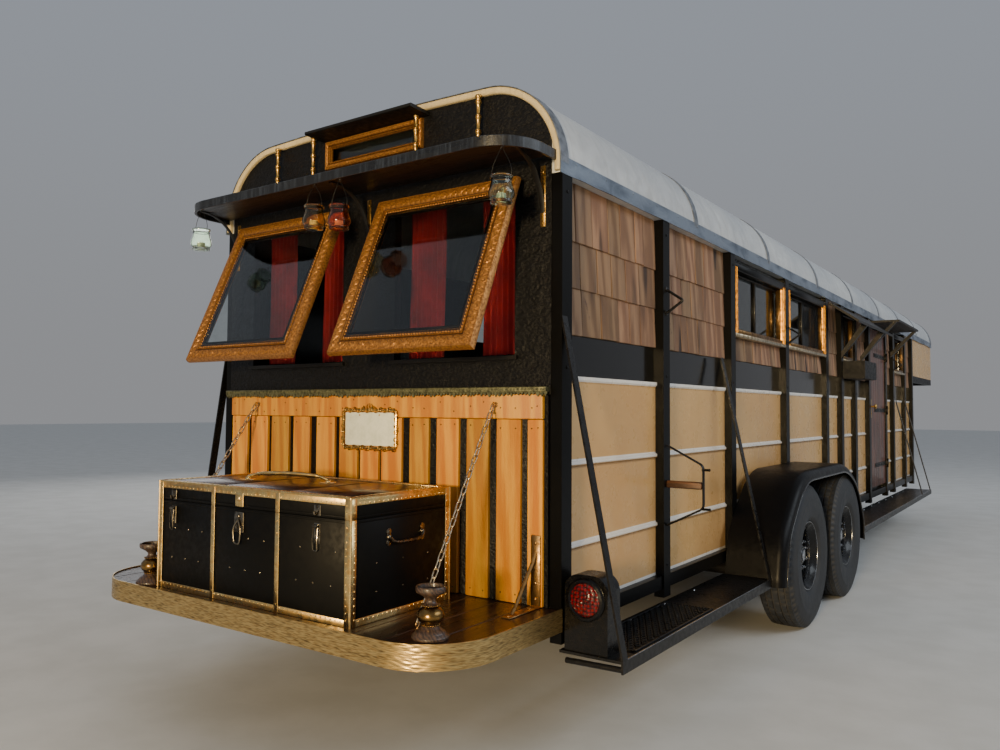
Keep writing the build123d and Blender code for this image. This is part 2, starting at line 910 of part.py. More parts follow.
def chain_link(middle, heading, turn, length):
    """One link with blunt ends lying along heading, turned about it."""
    plane = Plane(origin=middle, x_dir=heading, z_dir=turn)
    hole = (length - 2 * chain_wire, chain_link_width - 2 * chain_wire)
    with BuildSketch(plane) as outline:
        Rectangle(length, chain_link_width)
        chamfer(outline.vertices(), chain_wire)
        Rectangle(*hole, mode=Mode.SUBTRACT)
    extrude(outline.sketch, amount=chain_wire / 2, both=True)


# Chains from the wall to the deck's edge
with BuildPart() as deck_chains:
    shortening = 2 * chain_wire + chain_play
    for sign in (-1, 1):
        head = Vector(sign * chain_head[0], rear + chain_head[1], chain_head[2])
        foot = Vector(sign * chain_foot[0], rear + chain_foot[1], chain_foot[2])
        run = foot - head
        heading = run.normalized()
        across = heading.cross(Vector(0, 0, 1)).normalized()
        upward = across.cross(heading)
        pairs = round(run.length / (2 * (chain_link_length - shortening)))
        length = (run.length + chain_wire + 2 * pairs * shortening) / (2 * pairs + 1)
        for number in range(2 * pairs + 1):
            reach = (length - chain_wire) / 2 + number * (length - shortening)
            turn = across if number % 2 else upward
            chain_link(head + heading * reach, heading, turn, length)
save(deck_chains, "deck_chains")



def grown(span, by):
    """A span pushed out at both ends."""
    return (span[0] - by, span[1] + by)


def lid_rod(place, span, radius):
    """Round length on the lid's hinge line."""
    with BuildPart() as rod:
        with BuildSketch(side(place + span[0])):
            with Locations((lid_axis, lid_foot)):
                Circle(radius)
        extrude(amount=span[1] - span[0])
    return rod.part


# Trunk body and lid, with bound edges, straps and barrels on the hinge line
trunk_x = (-trunk_length / 2, trunk_length / 2)
trunk_y = (trunk_back - trunk_depth, trunk_back)
lid_foot = floor_top + trunk_height - trunk_lid_height
lid_top = floor_top + trunk_height
lid_axis = trunk_back + lid_barrel + trunk_edge_proud
lid_ear_end = lid_knuckle_half + lid_ear
bound_x, bound_y = grown(trunk_x, trunk_edge_proud), grown(trunk_y, trunk_edge_proud)
hollow_x, hollow_y = grown(trunk_x, -trunk_wall), grown(trunk_y, -trunk_wall)
corners = [
    (sorted((x, x + dx)), sorted((y, y + dy)))
    for x, dx in ((bound_x[0], trunk_edge), (bound_x[1], -trunk_edge))
    for y, dy in ((bound_y[0], trunk_edge), (bound_y[1], -trunk_edge))
]
strap_faces = (bound_y[0], trunk_y[0] + 1)
with BuildPart() as trunk_body:
    block(trunk_x, trunk_y, (floor_top, lid_foot - seat))
    block(bound_x, bound_y, (floor_top, floor_top + trunk_edge))
    for x, y in corners:
        block(x, y, (floor_top, lid_foot - seat))
    for place in trunk_straps:
        block((place - trunk_edge / 2, place + trunk_edge / 2), strap_faces, (floor_top, lid_foot - seat))
    block(hollow_x, hollow_y, (floor_top + trunk_wall, lid_foot), Mode.SUBTRACT)
    for place in lid_hinges:
        for span in ((-lid_ear_end, -lid_knuckle_half), (lid_knuckle_half, lid_ear_end)):
            add(lid_rod(place, span, lid_barrel))
            ear = (place + span[0], place + span[1])
            block(ear, (trunk_back, lid_axis), (lid_foot - 3 * lid_barrel, lid_foot))
        add(lid_rod(place, (-lid_knuckle_half, lid_knuckle_half), lid_pin))
save(trunk_body, "trunk_body")

with BuildPart() as trunk_lid:
    block(trunk_x, trunk_y, (lid_foot, lid_top))
    for x, y in corners:
        block(x, y, (lid_foot, lid_top))
    for place in trunk_straps:
        block((place - trunk_edge / 2, place + trunk_edge / 2), strap_faces, (lid_foot, lid_top))
    block(bound_x, bound_y, (lid_top - trunk_edge, lid_top + trunk_edge_proud))
    field_x, field_y = grown(bound_x, -trunk_edge), grown(bound_y, -trunk_edge)
    block(field_x, field_y, (lid_top, lid_top + trunk_edge_proud + 1), Mode.SUBTRACT)
    block(hollow_x, hollow_y, (lid_foot - 1, lid_top - trunk_wall), Mode.SUBTRACT)
    for place in lid_hinges:
        half = lid_knuckle_half - seat
        add(lid_rod(place, (-half, half), lid_barrel))
        block((place - half, place + half), (trunk_back, lid_axis), (lid_foot, lid_foot + 3 * lid_barrel))
        add(lid_rod(place, (-lid_knuckle_half, lid_knuckle_half), lid_pin + running_gap), mode=Mode.SUBTRACT)
save(trunk_lid, "trunk_lid")

# Turned candle stands on the deck's corners
with BuildPart() as candle_stands:
    for place, out in stand_places:
        add(many_sided(Plane((place, rear + out, floor_top)), stand_bands, turned_sides))
save(candle_stands, "candle_stands")

# Hanging jars under the shelf's edge
with BuildPart() as lantern_jars:
    for place, out, drop in jar_places:
        top = shelf_top - shelf_fascia - drop
        rim = Plane((place, rear + out, top))
        add(many_sided(rim, jar_bands, turned_sides))
        add(many_sided(rim, jar_hollow, turned_sides), mode=Mode.SUBTRACT)
        block((place - 36, place + 36), (out - 2, out + 2), (top, top + 4))
        block((place - 2, place + 2), (out - 2, out + 2), (top + 4, shelf_top - shelf_fascia - seat))
save(lantern_jars, "lantern_jars")

# Running boards with their deep outer edge
with BuildPart() as running_boards:
    for start, end in (rear_board_span, front_board_span):
        with BuildSketch(station(end)):
            with BuildLine():
                Polyline(
                    (half_width - 8, board_top),
                    (board_reach, board_top),
                    (board_reach, board_top - board_thickness),
                    (board_reach - 8, board_top - board_thickness),
                    (board_reach - 8, board_top - 10),
                    (half_width - 8, board_top - 10),
                    close=True,
                )
            make_face()
        extrude(amount=end - start)
    mirror(about=Plane.YZ)
save(running_boards, "running_boards")

# Bent hooks on the posts, and the loop that holds a wooden arm
with BuildPart() as wall_hooks:
    root = half_width - 2 * hook_radius
    rods = [
        [(root, y, z + hook_half), (half_width + hook_reach, y, z), (root, y, z - hook_half)]
        for y, z in hook_places
    ]
    out = half_width + loop_reach
    rods.append(
        [(root, loop_place, loop_top), (out, loop_place, loop_top - loop_fall)]
        + [(out, loop_place, loop_foot + loop_fall), (root, loop_place, loop_foot)]
    )
    for points in rods:
        with BuildLine() as path:
            Polyline(*[(x, rear + y, z) for x, y, z in points])
        with BuildSketch(Plane(origin=path.line @ 0, z_dir=path.line % 0)):
            RegularPolygon(hook_radius, round_sides)
        sweep(path=path.line, transition=Transition.RIGHT)
    block((root - 2 * hook_radius, half_width), (rear, front), (0, eave_z), Mode.SUBTRACT)
save(wall_hooks, "wall_hooks")

# Diagonal stays from the wall posts to the boards
with BuildPart() as board_stays:
    for place, head in zip(stay_places, stay_heads):
        with BuildSketch(station(place + stay_width / 2)):
            with BuildLine():
                Polyline(
                    (half_width, head),
                    (half_width, head - 40),
                    (board_reach - stay_thickness, board_top + seat),
                    (board_reach, board_top + seat),
                    close=True,
                )
            make_face()
        extrude(amount=stay_width)
    mirror(about=Plane.YZ)
save(board_stays, "board_stays")


def fender_outline(foot):
    """Side view of a fender down to foot, along the wagon and up."""
    low, high = rear_board_span[1] + seat, axle_places[1] + wheel_radius + fender_front_gap
    shoulder = fender_top - fender_shoulder
    with BuildLine() as rim:
        FilletPolyline(
            (low, foot),
            (low, board_top),
            (low + fender_lean, shoulder - fender_shoulder),
            (axle_places[0] - fender_crown, fender_top),
            (axle_places[1] - fender_front_crown, fender_top),
            (axle_places[1] + fender_front_shoulder, shoulder),
            (high, wheel_radius + fender_lean),
            (high, foot),
            radius=fender_round,
        )
        Line((high, foot), (low, foot))
    return make_face(rim.edges(), mode=Mode.PRIVATE)


# Tandem fenders, open below and outside
with BuildPart() as fenders:
    foot = board_top - board_thickness
    with BuildSketch(side(half_width + seat)):
        add(fender_outline(foot))
    extrude(amount=fender_reach)
    with BuildSketch(side(half_width + seat - 1)):
        add(fender_outline(foot - 2 * fender_sheet))
        offset(amount=-fender_sheet)
    extrude(amount=fender_reach + 2, mode=Mode.SUBTRACT)
    mirror(about=Plane.YZ)
save(fenders, "fenders")



# Tyres and rims, with the section of each as shares of the width and the height
wheels = (
    ("rear_right", 1, axle_places[0]),
    ("front_right", 1, axle_places[1]),
    ("rear_left", -1, axle_places[0]),
    ("front_left", -1, axle_places[1]),
)
tyre_profile = (
    (-0.4, 0.05), (-0.5, 0.45), (-0.42, 0.9), (-0.3, 1),
    (0.3, 1), (0.42, 0.9), (0.5, 0.45), (0.4, 0.05),
)
for name, sign, place in wheels:
    hub = Plane(
        origin=(sign * wheel_centre, rear + place, wheel_radius), x_dir=(0, 0, -1), z_dir=(sign, 0, 0)
    )
    bead = rim_radius + seat
    sections = [(x * tyre_width, bead + r * (wheel_radius - bead)) for x, r in tyre_profile]
    with BuildPart() as tyre:
        add(many_sided(hub, sections, wheel_sides))
        with BuildSketch(hub):
            RegularPolygon(bead, wheel_sides)
        extrude(amount=tyre_width, both=True, mode=Mode.SUBTRACT)
    save(tyre, "tyre_" + name)
    barrel = tyre_profile[-1][0] * tyre_width - seat
    with BuildPart() as rim:
        with BuildSketch(hub):
            RegularPolygon(rim_radius, wheel_sides)
            RegularPolygon(rim_radius - rim_sheet, wheel_sides, mode=Mode.SUBTRACT)
        extrude(amount=barrel, both=True)
        with BuildSketch(hub.offset(disc_place)):
            RegularPolygon(rim_radius - rim_sheet / 2, wheel_sides)
            with PolarLocations(disc_hole_circle, disc_hole_count):
                RegularPolygon(disc_hole_radius, disc_hole_count, mode=Mode.SUBTRACT)
        extrude(amount=disc_sheet)
        with BuildSketch(hub.offset(-hub_inner)):
            RegularPolygon(hub_radius, hub_sides)
        extrude(amount=hub_inner + hub_outer)
        with BuildSketch(hub.offset(-hub_inner)):
            Circle(spindle_radius + running_gap)
        extrude(amount=hub_inner + hub_outer - hub_cap, mode=Mode.SUBTRACT)
    save(rim, "rim_" + name)

# Tail lamps and the boxes that hold them, between the wall and the first stay
lamp_inner = half_width + lamp_wall_gap
lamp_outer = board_reach - lamp_stay_gap
lamp_centre = (lamp_inner + lamp_outer) / 2
lamp_radius = (lamp_outer - lamp_inner) / 2 - lamp_rim
lamp_height = lamp_rise + lamp_radius + lamp_rim
with BuildPart() as lamp_boxes:
    with BuildSketch(station(lamp_start + lamp_depth)):
        with Locations((lamp_centre, board_top + seat + lamp_height / 2)):
            Rectangle(lamp_outer - lamp_inner, lamp_height)
        fillet(vertices().group_by(Axis.Y)[-1], lamp_radius)
    extrude(amount=lamp_depth)
    mirror(about=Plane.YZ)
save(lamp_boxes, "lamp_boxes")

with BuildPart() as tail_lamps:
    with BuildSketch(station(lamp_start)):
        with Locations((lamp_centre, board_top + seat + lamp_rise)):
            Circle(lamp_radius)
    extrude(amount=lamp_lens)
    mirror(about=Plane.YZ)
save(tail_lamps, "tail_lamps")

# Entry door in the right side
with BuildPart() as entry_door:
    block(
        (skin + 2, skin + 38),
        (door_start + door_gap, door_end - door_gap),
        (floor_top + door_gap, door_top - door_gap),
    )
    for height in door_hinge_heights:
        with BuildSketch(level(height + knuckle_length + seat)):
            with Locations(hinge_axis):
                RegularPolygon(hinge_ear_radius, round_sides)
            with Locations((hinge_axis[0] - 11, hinge_axis[1] - 5)):
                Rectangle(22, 7)
            with Locations(hinge_axis):
                Circle(hinge_pin_radius + running_gap, mode=Mode.SUBTRACT)
        extrude(amount=knuckle_length)
save(entry_door, "entry_door")

# Hood over the door and sloping awning board along the eave
with BuildPart() as eave_awning:
    block((half_width + seat, hood_edge), hood_span, (hood_foot, hood_foot + 20))
    for place in (hood_span[0], hood_span[1] - strut_width):
        with BuildSketch(station(place + strut_width)):
            with BuildLine():
                Polyline(
                    (half_width + seat, 1870),
                    (half_width + seat, 1925),
                    (hood_edge - 55, hood_foot),
                    (hood_edge - 20, hood_foot),
                    close=True,
                )
            make_face()
        extrude(amount=strut_width)
    for place in awning_struts:
        with BuildSketch(station(place + strut_width)):
            with BuildLine():
                Polyline(
                    (half_width + seat, 1730),
                    (half_width + seat, 1785),
                    (1185, 2024),
                    (1222, 2000),
                    close=True,
                )
            make_face()
        extrude(amount=strut_width)
    with BuildSketch(station(awning_span[1])):
        with BuildLine():
            Polyline(
                (half_width + seat, 2165), (1235, 2010), (1235, 1990), (half_width + seat, 2145),
                close=True,
            )
        make_face()
    extrude(amount=awning_span[1] - awning_span[0])
save(eave_awning, "eave_awning")

# Planter trough on the wall
with BuildPart() as planter_box:
    back = half_width + seat
    rim = planter_foot + planter_rise
    block((back, back + planter_reach), planter_span, (planter_foot, rim))
    block(
        (back + planter_wall, back + planter_reach - planter_wall),
        (planter_span[0] + planter_wall, planter_span[1] - planter_wall),
        (planter_foot + planter_wall, rim + 1),
        Mode.SUBTRACT,
    )
save(planter_box, "planter_box")

# Frame under the nose with the coupler column
with BuildPart() as gooseneck_frame:
    edge = half_width - 10
    for sign in (-1, 1):
        block(
            sorted((sign * edge, sign * (edge - 50))),
            (front + front_wall_thickness, nose_tip),
            (nose_panel_foot - neck_rail, nose_panel_foot),
        )
        block(
            sorted((sign * (jack_tube / 2 + seat), sign * (jack_tube / 2 + neck_rail))),
            (front, nose_tip - 50),
            (nose_panel_foot - neck_rail, nose_panel_foot),
        )
    for start in (front + front_wall_thickness, front + 765, nose_tip - 50):
        block((-edge, edge), (start, start + 50), (nose_panel_foot - neck_rail, nose_panel_foot))
    with BuildSketch(level(coupler_foot + 140)):
        with Locations((0, coupler_place)):
            Circle(column_radius)
    extrude(amount=nose_panel_foot - coupler_foot - 140)
    under = nose_panel_foot - neck_rail
    for lean in (-1, 1):
        with BuildSketch(side(-gusset_sheet / 2)):
            with Locations((coupler_place, under)):
                Polygon(
                    (0, 1),
                    (lean * (column_radius + gusset_reach), 1),
                    (lean * (column_radius - 5), -gusset_reach),
                    (0, -gusset_reach),
                    align=None,
                )
        extrude(amount=gusset_sheet)
    with BuildSketch(level(coupler_foot)):
        with Locations((0, coupler_place)):
            Circle(52)
            Circle(ball_radius, mode=Mode.SUBTRACT)
    extrude(amount=60)
    with BuildSketch(level(coupler_foot + 60)):
        with Locations((0, coupler_place)):
            Circle(52)
    extrude(amount=90)
save(gooseneck_frame, "gooseneck_frame")

# Landing jack under the nose
with BuildPart() as landing_jack:
    half = jack_tube / 2
    jack_span = (jack_place - half, jack_place + half)
    block((-half, half), jack_span, (520, nose_panel_foot - seat))
    half = jack_leg / 2
    block((-half, half), (jack_place - half, jack_place + half), (10, 560))
    half = jack_foot / 2
    block((-half, half), (jack_place - half, jack_place + half), (0, 12))
    with BuildSketch(side(jack_tube / 2 - 1)):
        with Locations((jack_place, crank_height)):
            Circle(crank_radius)
    extrude(amount=crank_shaft)
    crank = jack_tube / 2 + crank_shaft
    block(
        (crank - 2 * crank_radius, crank),
        (jack_place - crank_radius, jack_place + crank_radius),
        (crank_height - crank_arm, crank_height + crank_radius),
    )
    with BuildSketch(side(crank - 1)):
        with Locations((jack_place, crank_height - crank_arm + crank_radius)):
            Circle(crank_radius)
    extrude(amount=crank_grip)
save(landing_jack, "landing_jack")
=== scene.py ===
import random
from math import atan2, cos, dist, exp, floor, hypot, pi, radians, sin, sqrt

import bmesh
import bpy
from mathutils import Matrix, Vector, noise


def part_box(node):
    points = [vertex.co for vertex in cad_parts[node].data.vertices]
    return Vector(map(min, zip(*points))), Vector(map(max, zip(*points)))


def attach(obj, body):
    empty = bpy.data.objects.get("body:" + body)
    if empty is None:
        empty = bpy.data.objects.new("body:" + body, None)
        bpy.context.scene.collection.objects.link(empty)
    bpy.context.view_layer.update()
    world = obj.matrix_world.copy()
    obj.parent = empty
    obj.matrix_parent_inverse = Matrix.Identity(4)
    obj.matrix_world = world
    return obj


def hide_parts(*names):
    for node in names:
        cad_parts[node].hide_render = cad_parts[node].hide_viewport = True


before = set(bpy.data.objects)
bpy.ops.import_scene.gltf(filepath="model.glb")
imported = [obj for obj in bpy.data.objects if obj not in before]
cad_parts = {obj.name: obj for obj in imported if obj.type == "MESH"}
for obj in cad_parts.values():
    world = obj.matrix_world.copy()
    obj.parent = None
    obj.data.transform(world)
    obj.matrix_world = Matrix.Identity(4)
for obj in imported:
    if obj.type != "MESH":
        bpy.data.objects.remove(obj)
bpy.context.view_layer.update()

# Sizes in metres. Places along the wagon are counted from the rear wall's outer face.
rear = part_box("roof_skin")[0].y
chance = random.Random(7)
half_width = 1.015
skin = 0.965
deck_top = 0.528
eave = 2.19
posts = (0.0375, 0.98, 1.93, 3.03, 4.16, 4.69, 5.23, 5.85, 6.72, 7.18, 7.95, 8.4975)
post_half = 0.0375
bay_fills = ("shingles", "shingles", "window", "window", "shingles", "screen",
             "shingles", "door", "shingles", "window", "shingles")
bays = [(a + post_half, b - post_half, fill) for a, b, fill in zip(posts, posts[1:], bay_fills)]
link = bpy.context.scene.collection.objects.link

# Section of a softened bar: the side of each corner, and the step to its edge's two ends
eight = ((-1, -1, 1, 0), (1, -1, -1, 0), (1, -1, 0, 1), (1, 1, 0, -1),
         (1, 1, -1, 0), (-1, 1, 1, 0), (-1, 1, 0, -1), (-1, -1, 0, 1))


def circle(count, start=0.0):
    """Angles evenly round a circle."""
    return [2 * pi * (n + start) / count for n in range(count)]


# Mesh work
class Stock:
    """Points and faces of one piece, with a chance number for each board."""

    def __init__(self, place=None):
        self.place = Matrix.Translation((0, rear, 0)) @ (place or Matrix.Identity(4))
        self.points, self.faces, self.cuts, self.heights, self.finishes = [], [], [], [], []
        self.cut, self.finish = 0.5, 0

    def add_points(self, points, heights=None):
        self.points += [self.place @ Vector(p) for p in points]
        self.heights += heights or [1.0] * len(points)

    def add_faces(self, faces):
        self.faces += faces
        self.cuts += [self.cut] * len(faces)
        self.finishes += [self.finish] * len(faces)

    def loft(self, rings, caps=True, closed=True, loop=False, heights=None):
        """Skin over a row of rings that have the same number of points."""
        base, count, rows = len(self.points), len(rings[0]), len(rings)
        for row, ring in enumerate(rings):
            self.add_points(ring, heights and heights[row])
        faces = []
        for row in range(rows if loop else rows - 1):
            a, b = base + row * count, base + (row + 1) % rows * count
            for n in range(count if closed else count - 1):
                m = (n + 1) % count
                faces.append((a + n, a + m, b + m, b + n))
        if caps and closed and not loop:
            faces.append(tuple(range(base + count - 1, base - 1, -1)))
            faces.append(tuple(range(base + (rows - 1) * count, base + rows * count)))
        self.add_faces(faces)

    def tube(self, path, radius, sides=8, loop=False, flat=1.0, up=None):
        """Round bar along a path, with one radius or one for each point."""
        path = [Vector(p) for p in path]
        count = len(path)
        up = Vector(up) if up else None
        rings = []
        for n, point in enumerate(path):
            after = path[(n + 1) % count] if loop or n < count - 1 else point
            before = path[n - 1] if loop or n else point
            ahead = (after - before).normalized()
            up = up or ahead.orthogonal()
            up = (up - ahead * up.dot(ahead)).normalized()
            out = ahead.cross(up)
            r = radius[n] if isinstance(radius, list) else radius
            rings.append([point + up * (cos(t) * r * flat) + out * (sin(t) * r) for t in circle(sides, 0.5)])
        self.loft(rings, loop=loop)

    def turned(self, base, axis, profile, sides=24, loop=False):
        """Lathe work: profile is radius and height along the axis."""
        base, axis = Vector(base), Vector(axis).normalized()
        out = axis.orthogonal().normalized()
        across = axis.cross(out)
        self.loft([[base + axis * height + (out * cos(t) + across * sin(t)) * radius
                    for t in circle(sides, 0.5)] for radius, height in profile], loop=loop)

    def bar(self, start, end, soft=0.002, along=None):
        """Block with softened edges between two opposite corners."""
        low, high = [Vector(tuple(map(pick, start, end))) for pick in (min, max)]
        size = high - low
        axis = max(range(3), key=lambda n: size[n]) if along is None else along
        a, b = [n for n in range(3) if n != axis]
        soft = min(soft, 0.4 * min(size))
        rings = []
        for at, inset in ((low[axis], soft * 0.7), (low[axis] + soft, 0),
                          (high[axis] - soft, 0), (high[axis], soft * 0.7)):
            ring = []
            for u, v, du, dv in eight:
                p = [at, at, at]
                p[a] = (high[a] - inset if u > 0 else low[a] + inset) + du * soft
                p[b] = (high[b] - inset if v > 0 else low[b] + inset) + dv * soft
                ring.append(p)
            rings.append(ring)
        self.loft(rings)

    def stick(self, start, end, width, depth, soft):
        """Square bar with softened edges between two points."""
        start, end = Vector(start), Vector(end)
        ahead = (end - start).normalized()
        side = ahead.cross(Vector((0, 0, 1))).normalized()
        top = side.cross(ahead)
        length = (end - start).length
        self.loft([[start + ahead * at + side * (u * (width / 2 - inset) + du * soft)
                    + top * (v * (depth / 2 - inset) + dv * soft) for u, v, du, dv in eight]
                   for at, inset in ((0, soft * 0.7), (soft, 0), (length - soft, 0), (length, soft * 0.7))])

    def dome(self, centre, out, radius, height, sides=8):
        """Round nail, rivet or bolt head."""
        self.turned(centre, out, ((radius, -height * 0.4), (radius, height * 0.15), (radius * 0.8, height * 0.65),
                                  (radius * 0.4, height * 0.95), (radius * 0.08, height)), sides)


def hand_over(stock, name, finishes, replaces="", sharp=35, body="wagon"):
    """Make the stock into a piece with its finishes, riding on a body."""
    mesh = bpy.data.meshes.new(name)
    mesh.from_pydata([p[:] for p in stock.points], [], stock.faces)
    for made in finishes if isinstance(finishes, list) else [finishes]:
        mesh.materials.append(made)
    mesh.polygons.foreach_set("material_index", stock.finishes)
    mesh.attributes.new("cut", "FLOAT", "FACE").data.foreach_set("value", stock.cuts)
    mesh.attributes.new("relief", "FLOAT", "POINT").data.foreach_set("value", stock.heights)
    work = bmesh.new()
    work.from_mesh(mesh)
    bmesh.ops.recalc_face_normals(work, faces=work.faces)
    work.to_mesh(mesh)
    work.free()
    mesh.shade_smooth()
    mesh.set_sharp_from_angle(angle=radians(sharp))
    piece = bpy.data.objects.new(name, mesh)
    link(piece)
    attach(piece, body)
    if replaces:
        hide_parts(*replaces.split())
    return piece


def rounded(path, radius, steps=5):
    """Path with its corners rounded."""
    path = [Vector(p) for p in path]
    out = [path[0]]
    for before, corner, after in zip(path, path[1:], path[2:]):
        a, b = before - corner, after - corner
        reach = min(radius, a.length * 0.49, b.length * 0.49)
        p, q = corner + a.normalized() * reach, corner + b.normalized() * reach
        out += [p * (1 - t) ** 2 + corner * 2 * t * (1 - t) + q * t * t
                for t in [n / steps for n in range(steps + 1)]]
    return out + [path[-1]]


# Shader work
def shade(rgb, factor=1.0):
    """Colour from a paint chart, 0 to 255, made darker or lighter."""
    parts = [((c / 255 + 0.055) / 1.055) ** 2.4 if c > 10 else c / 3295 for c in rgb]
    return tuple(min(1.0, v * factor) for v in parts) + (1.0,)


class Wiring:
    """Short calls that make and join the nodes of one tree."""

    def __init__(self, tree):
        self.tree = tree

    def put(self, kind, feeds, **settings):
        """One node with its settings made and its inputs fed."""
        node = self.tree.nodes.new("ShaderNode" + kind)
        for key, value in settings.items():
            setattr(node, key, value)
        for socket, value in feeds.items():
            if isinstance(value, bpy.types.NodeSocket):
                self.tree.links.new(value, node.inputs[socket])
            else:
                node.inputs[socket].default_value = value
        return node

    def sum(self, operation, a, b, clamp=False):
        return self.put("Math", {0: a, 1: b}, operation=operation, use_clamp=clamp).outputs[0]

    def add(self, a, b, clamp=False):
        return self.sum("ADD", a, b, clamp)

    def times(self, a, b, clamp=False):
        return self.sum("MULTIPLY", a, b, clamp)

    def mix(self, share, a, b):
        """Two colours mixed; a plain one comes from the paint chart."""
        a, b = [shade(c) if isinstance(c, tuple) and len(c) == 3 else c for c in (a, b)]
        return self.put("Mix", {0: share, 6: a, 7: b}, data_type="RGBA").outputs[2]

    def range(self, value, low=0.3, high=0.7, least=0.0, most=1.0):
        return self.put("MapRange", {0: value, 1: low, 2: high, 3: least, 4: most},
                        interpolation_type="SMOOTHSTEP").outputs[0]

    def vector(self, operation, a, b, socket=1):
        return self.put("VectorMath", {0: a, socket: b}, operation=operation).outputs[0]

    def part(self, vector, n=2):
        """One part of a vector, its height if nothing is said."""
        return self.put("SeparateXYZ", {0: vector}).outputs[n]

    def clouds(self, scale, detail=4.0, rough=0.55, warp=0.0, place=None):
        return self.put("TexNoise", {"Vector": place or self.place, "Scale": scale, "Detail": detail,
                                     "Roughness": rough, "Distortion": warp}).outputs["Fac"]

    def cells(self, scale, spread, place=None, **settings):
        return self.put("TexVoronoi", {"Vector": place or self.place, "Scale": scale, "Randomness": spread},
                        **settings).outputs


def effect(name, outputs, **inputs):
    """Make the function below into a shader group with named inputs and outputs."""
    kinds = {float: "NodeSocketFloat", tuple: "NodeSocketColor", Vector: "NodeSocketVector"}

    def build(work):
        tree = bpy.data.node_groups.new(name, "ShaderNodeTree")
        for label, value in {"Place": Vector((0, 0, 0)), **inputs}.items():
            socket = tree.interface.new_socket(label, in_out="INPUT", socket_type=kinds[type(value)])
            socket.default_value = value
        for label in outputs.split():
            kind = kinds[tuple if label == "Color" else float]
            tree.interface.new_socket(label, in_out="OUTPUT", socket_type=kind)
        wiring, given = Wiring(tree), tree.nodes.new("NodeGroupInput").outputs
        wiring.place = given["Place"]
        ends = tree.nodes.new("NodeGroupOutput").inputs
        for label, socket in zip(outputs.split(), work(wiring, given)):
            tree.links.new(socket, ends[label])
        return tree

    return build


@effect("wood_grain", "Color Height", Stretch=Vector((1, 1, 1)), Cut=0.5,
        Pale=(0.5, 0.3, 0.1, 1.0), Dark=(0.2, 0.1, 0.05, 1.0))
def grain(w, given):
    """Growth rings and fine fibre, drawn out along the board."""
    shift = w.vector("SCALE", (31.0, 17.0, 23.0), given["Cut"], "Scale")
    place = w.vector("ADD", w.vector("MULTIPLY", w.place, given["Stretch"]), shift)
    broad = w.clouds(2.2, 5.0, 0.6, 1.6, place)
    rings = w.put("TexWave", {"Vector": place, "Scale": 1.1, "Distortion": 9.0, "Detail": 3.0,
                              "Detail Scale": 1.4}, wave_type="BANDS", bands_direction="DIAGONAL").outputs["Fac"]
    fibre = w.clouds(26.0, 3.0, 0.7, 0.0, place)
    share = w.add(w.add(w.times(broad, 0.55), w.times(rings, 0.3)), w.times(fibre, 0.3))
    tone = w.mix(w.range(share, 0.35, 0.85), given["Dark"], given["Pale"])
    tone = w.put("HueSaturation", {"Color": tone, "Value": w.range(given["Cut"], 0.0, 1.0, 0.76, 1.16),
                                   "Hue": w.range(given["Cut"], 0.0, 1.0, 0.508, 0.496)}).outputs[0]
    return tone, w.add(fibre, broad)


@effect("knots", "Mask", Stretch=Vector((1, 1, 1)), Cut=0.5, Amount=0.5)
def knots(w, given):
    """Sparse dark knots, drawn out along the board."""
    shift = w.vector("SCALE", (13.0, 41.0, 7.0), given["Cut"], "Scale")
    place = w.vector("ADD", w.vector("MULTIPLY", w.place, given["Stretch"]), shift)
    warp = w.put("TexNoise", {"Vector": place, "Scale": 3.0}).outputs["Color"]
    cells = w.cells(1.0, 1.0, w.vector("ADD", place, w.vector("MULTIPLY", warp, (0.35, 0.35, 0.35))))
    pick = w.put("SeparateColor", {0: cells["Color"]}).outputs[0]
    return w.times(w.range(cells["Distance"], 0.4, 0.16),
                   w.range(pick, w.sum("SUBTRACT", 1.0, given["Amount"]), 1.0), True),


@effect("rubbed_wear", "Mask", Scale=6.0, Amount=0.3)
def wear(w, given):
    """Patches and specks where a coat has rubbed through."""
    value = w.add(w.clouds(given["Scale"], 9.0, 0.72, 0.4), w.times(w.clouds(160.0, 2.0, 0.6), 0.12))
    low = w.sum("SUBTRACT", 0.88, w.times(given["Amount"], 0.4))
    return w.range(value, low, w.add(low, 0.07)),


@effect("road_dust", "Mask", Top=1.2, Amount=0.5)
def dust(w, given):
    """Dust that thins out upward from the ground."""
    fade = w.range(w.part(w.place), given["Top"], 0.0)
    return w.times(w.times(fade, w.range(w.clouds(4.0, 8.0, 0.65))), given["Amount"], True),


@effect("hammered", "Height", Stretch=Vector((1, 1, 1)), Scale=60.0)
def hammer(w, given):
    """Dented and crinkled surface."""
    place = w.vector("MULTIPLY", w.place, given["Stretch"])
    dents = w.cells(given["Scale"], 0.9, place, feature="SMOOTH_F1")["Distance"]
    return w.add(dents, w.clouds(given["Scale"], 6.0, 0.65, 1.2, place)),


@effect("streaks", "Mask", Stretch=Vector((9, 9, 0.7)), Amount=0.4)
def streaks(w, given):
    """Runs and streaks down a surface."""
    thin = w.clouds(5.0, 7.0, 0.7, 0.0, w.vector("MULTIPLY", w.place, given["Stretch"]))
    return w.times(w.range(thin, 0.45, 0.72), given["Amount"], True),


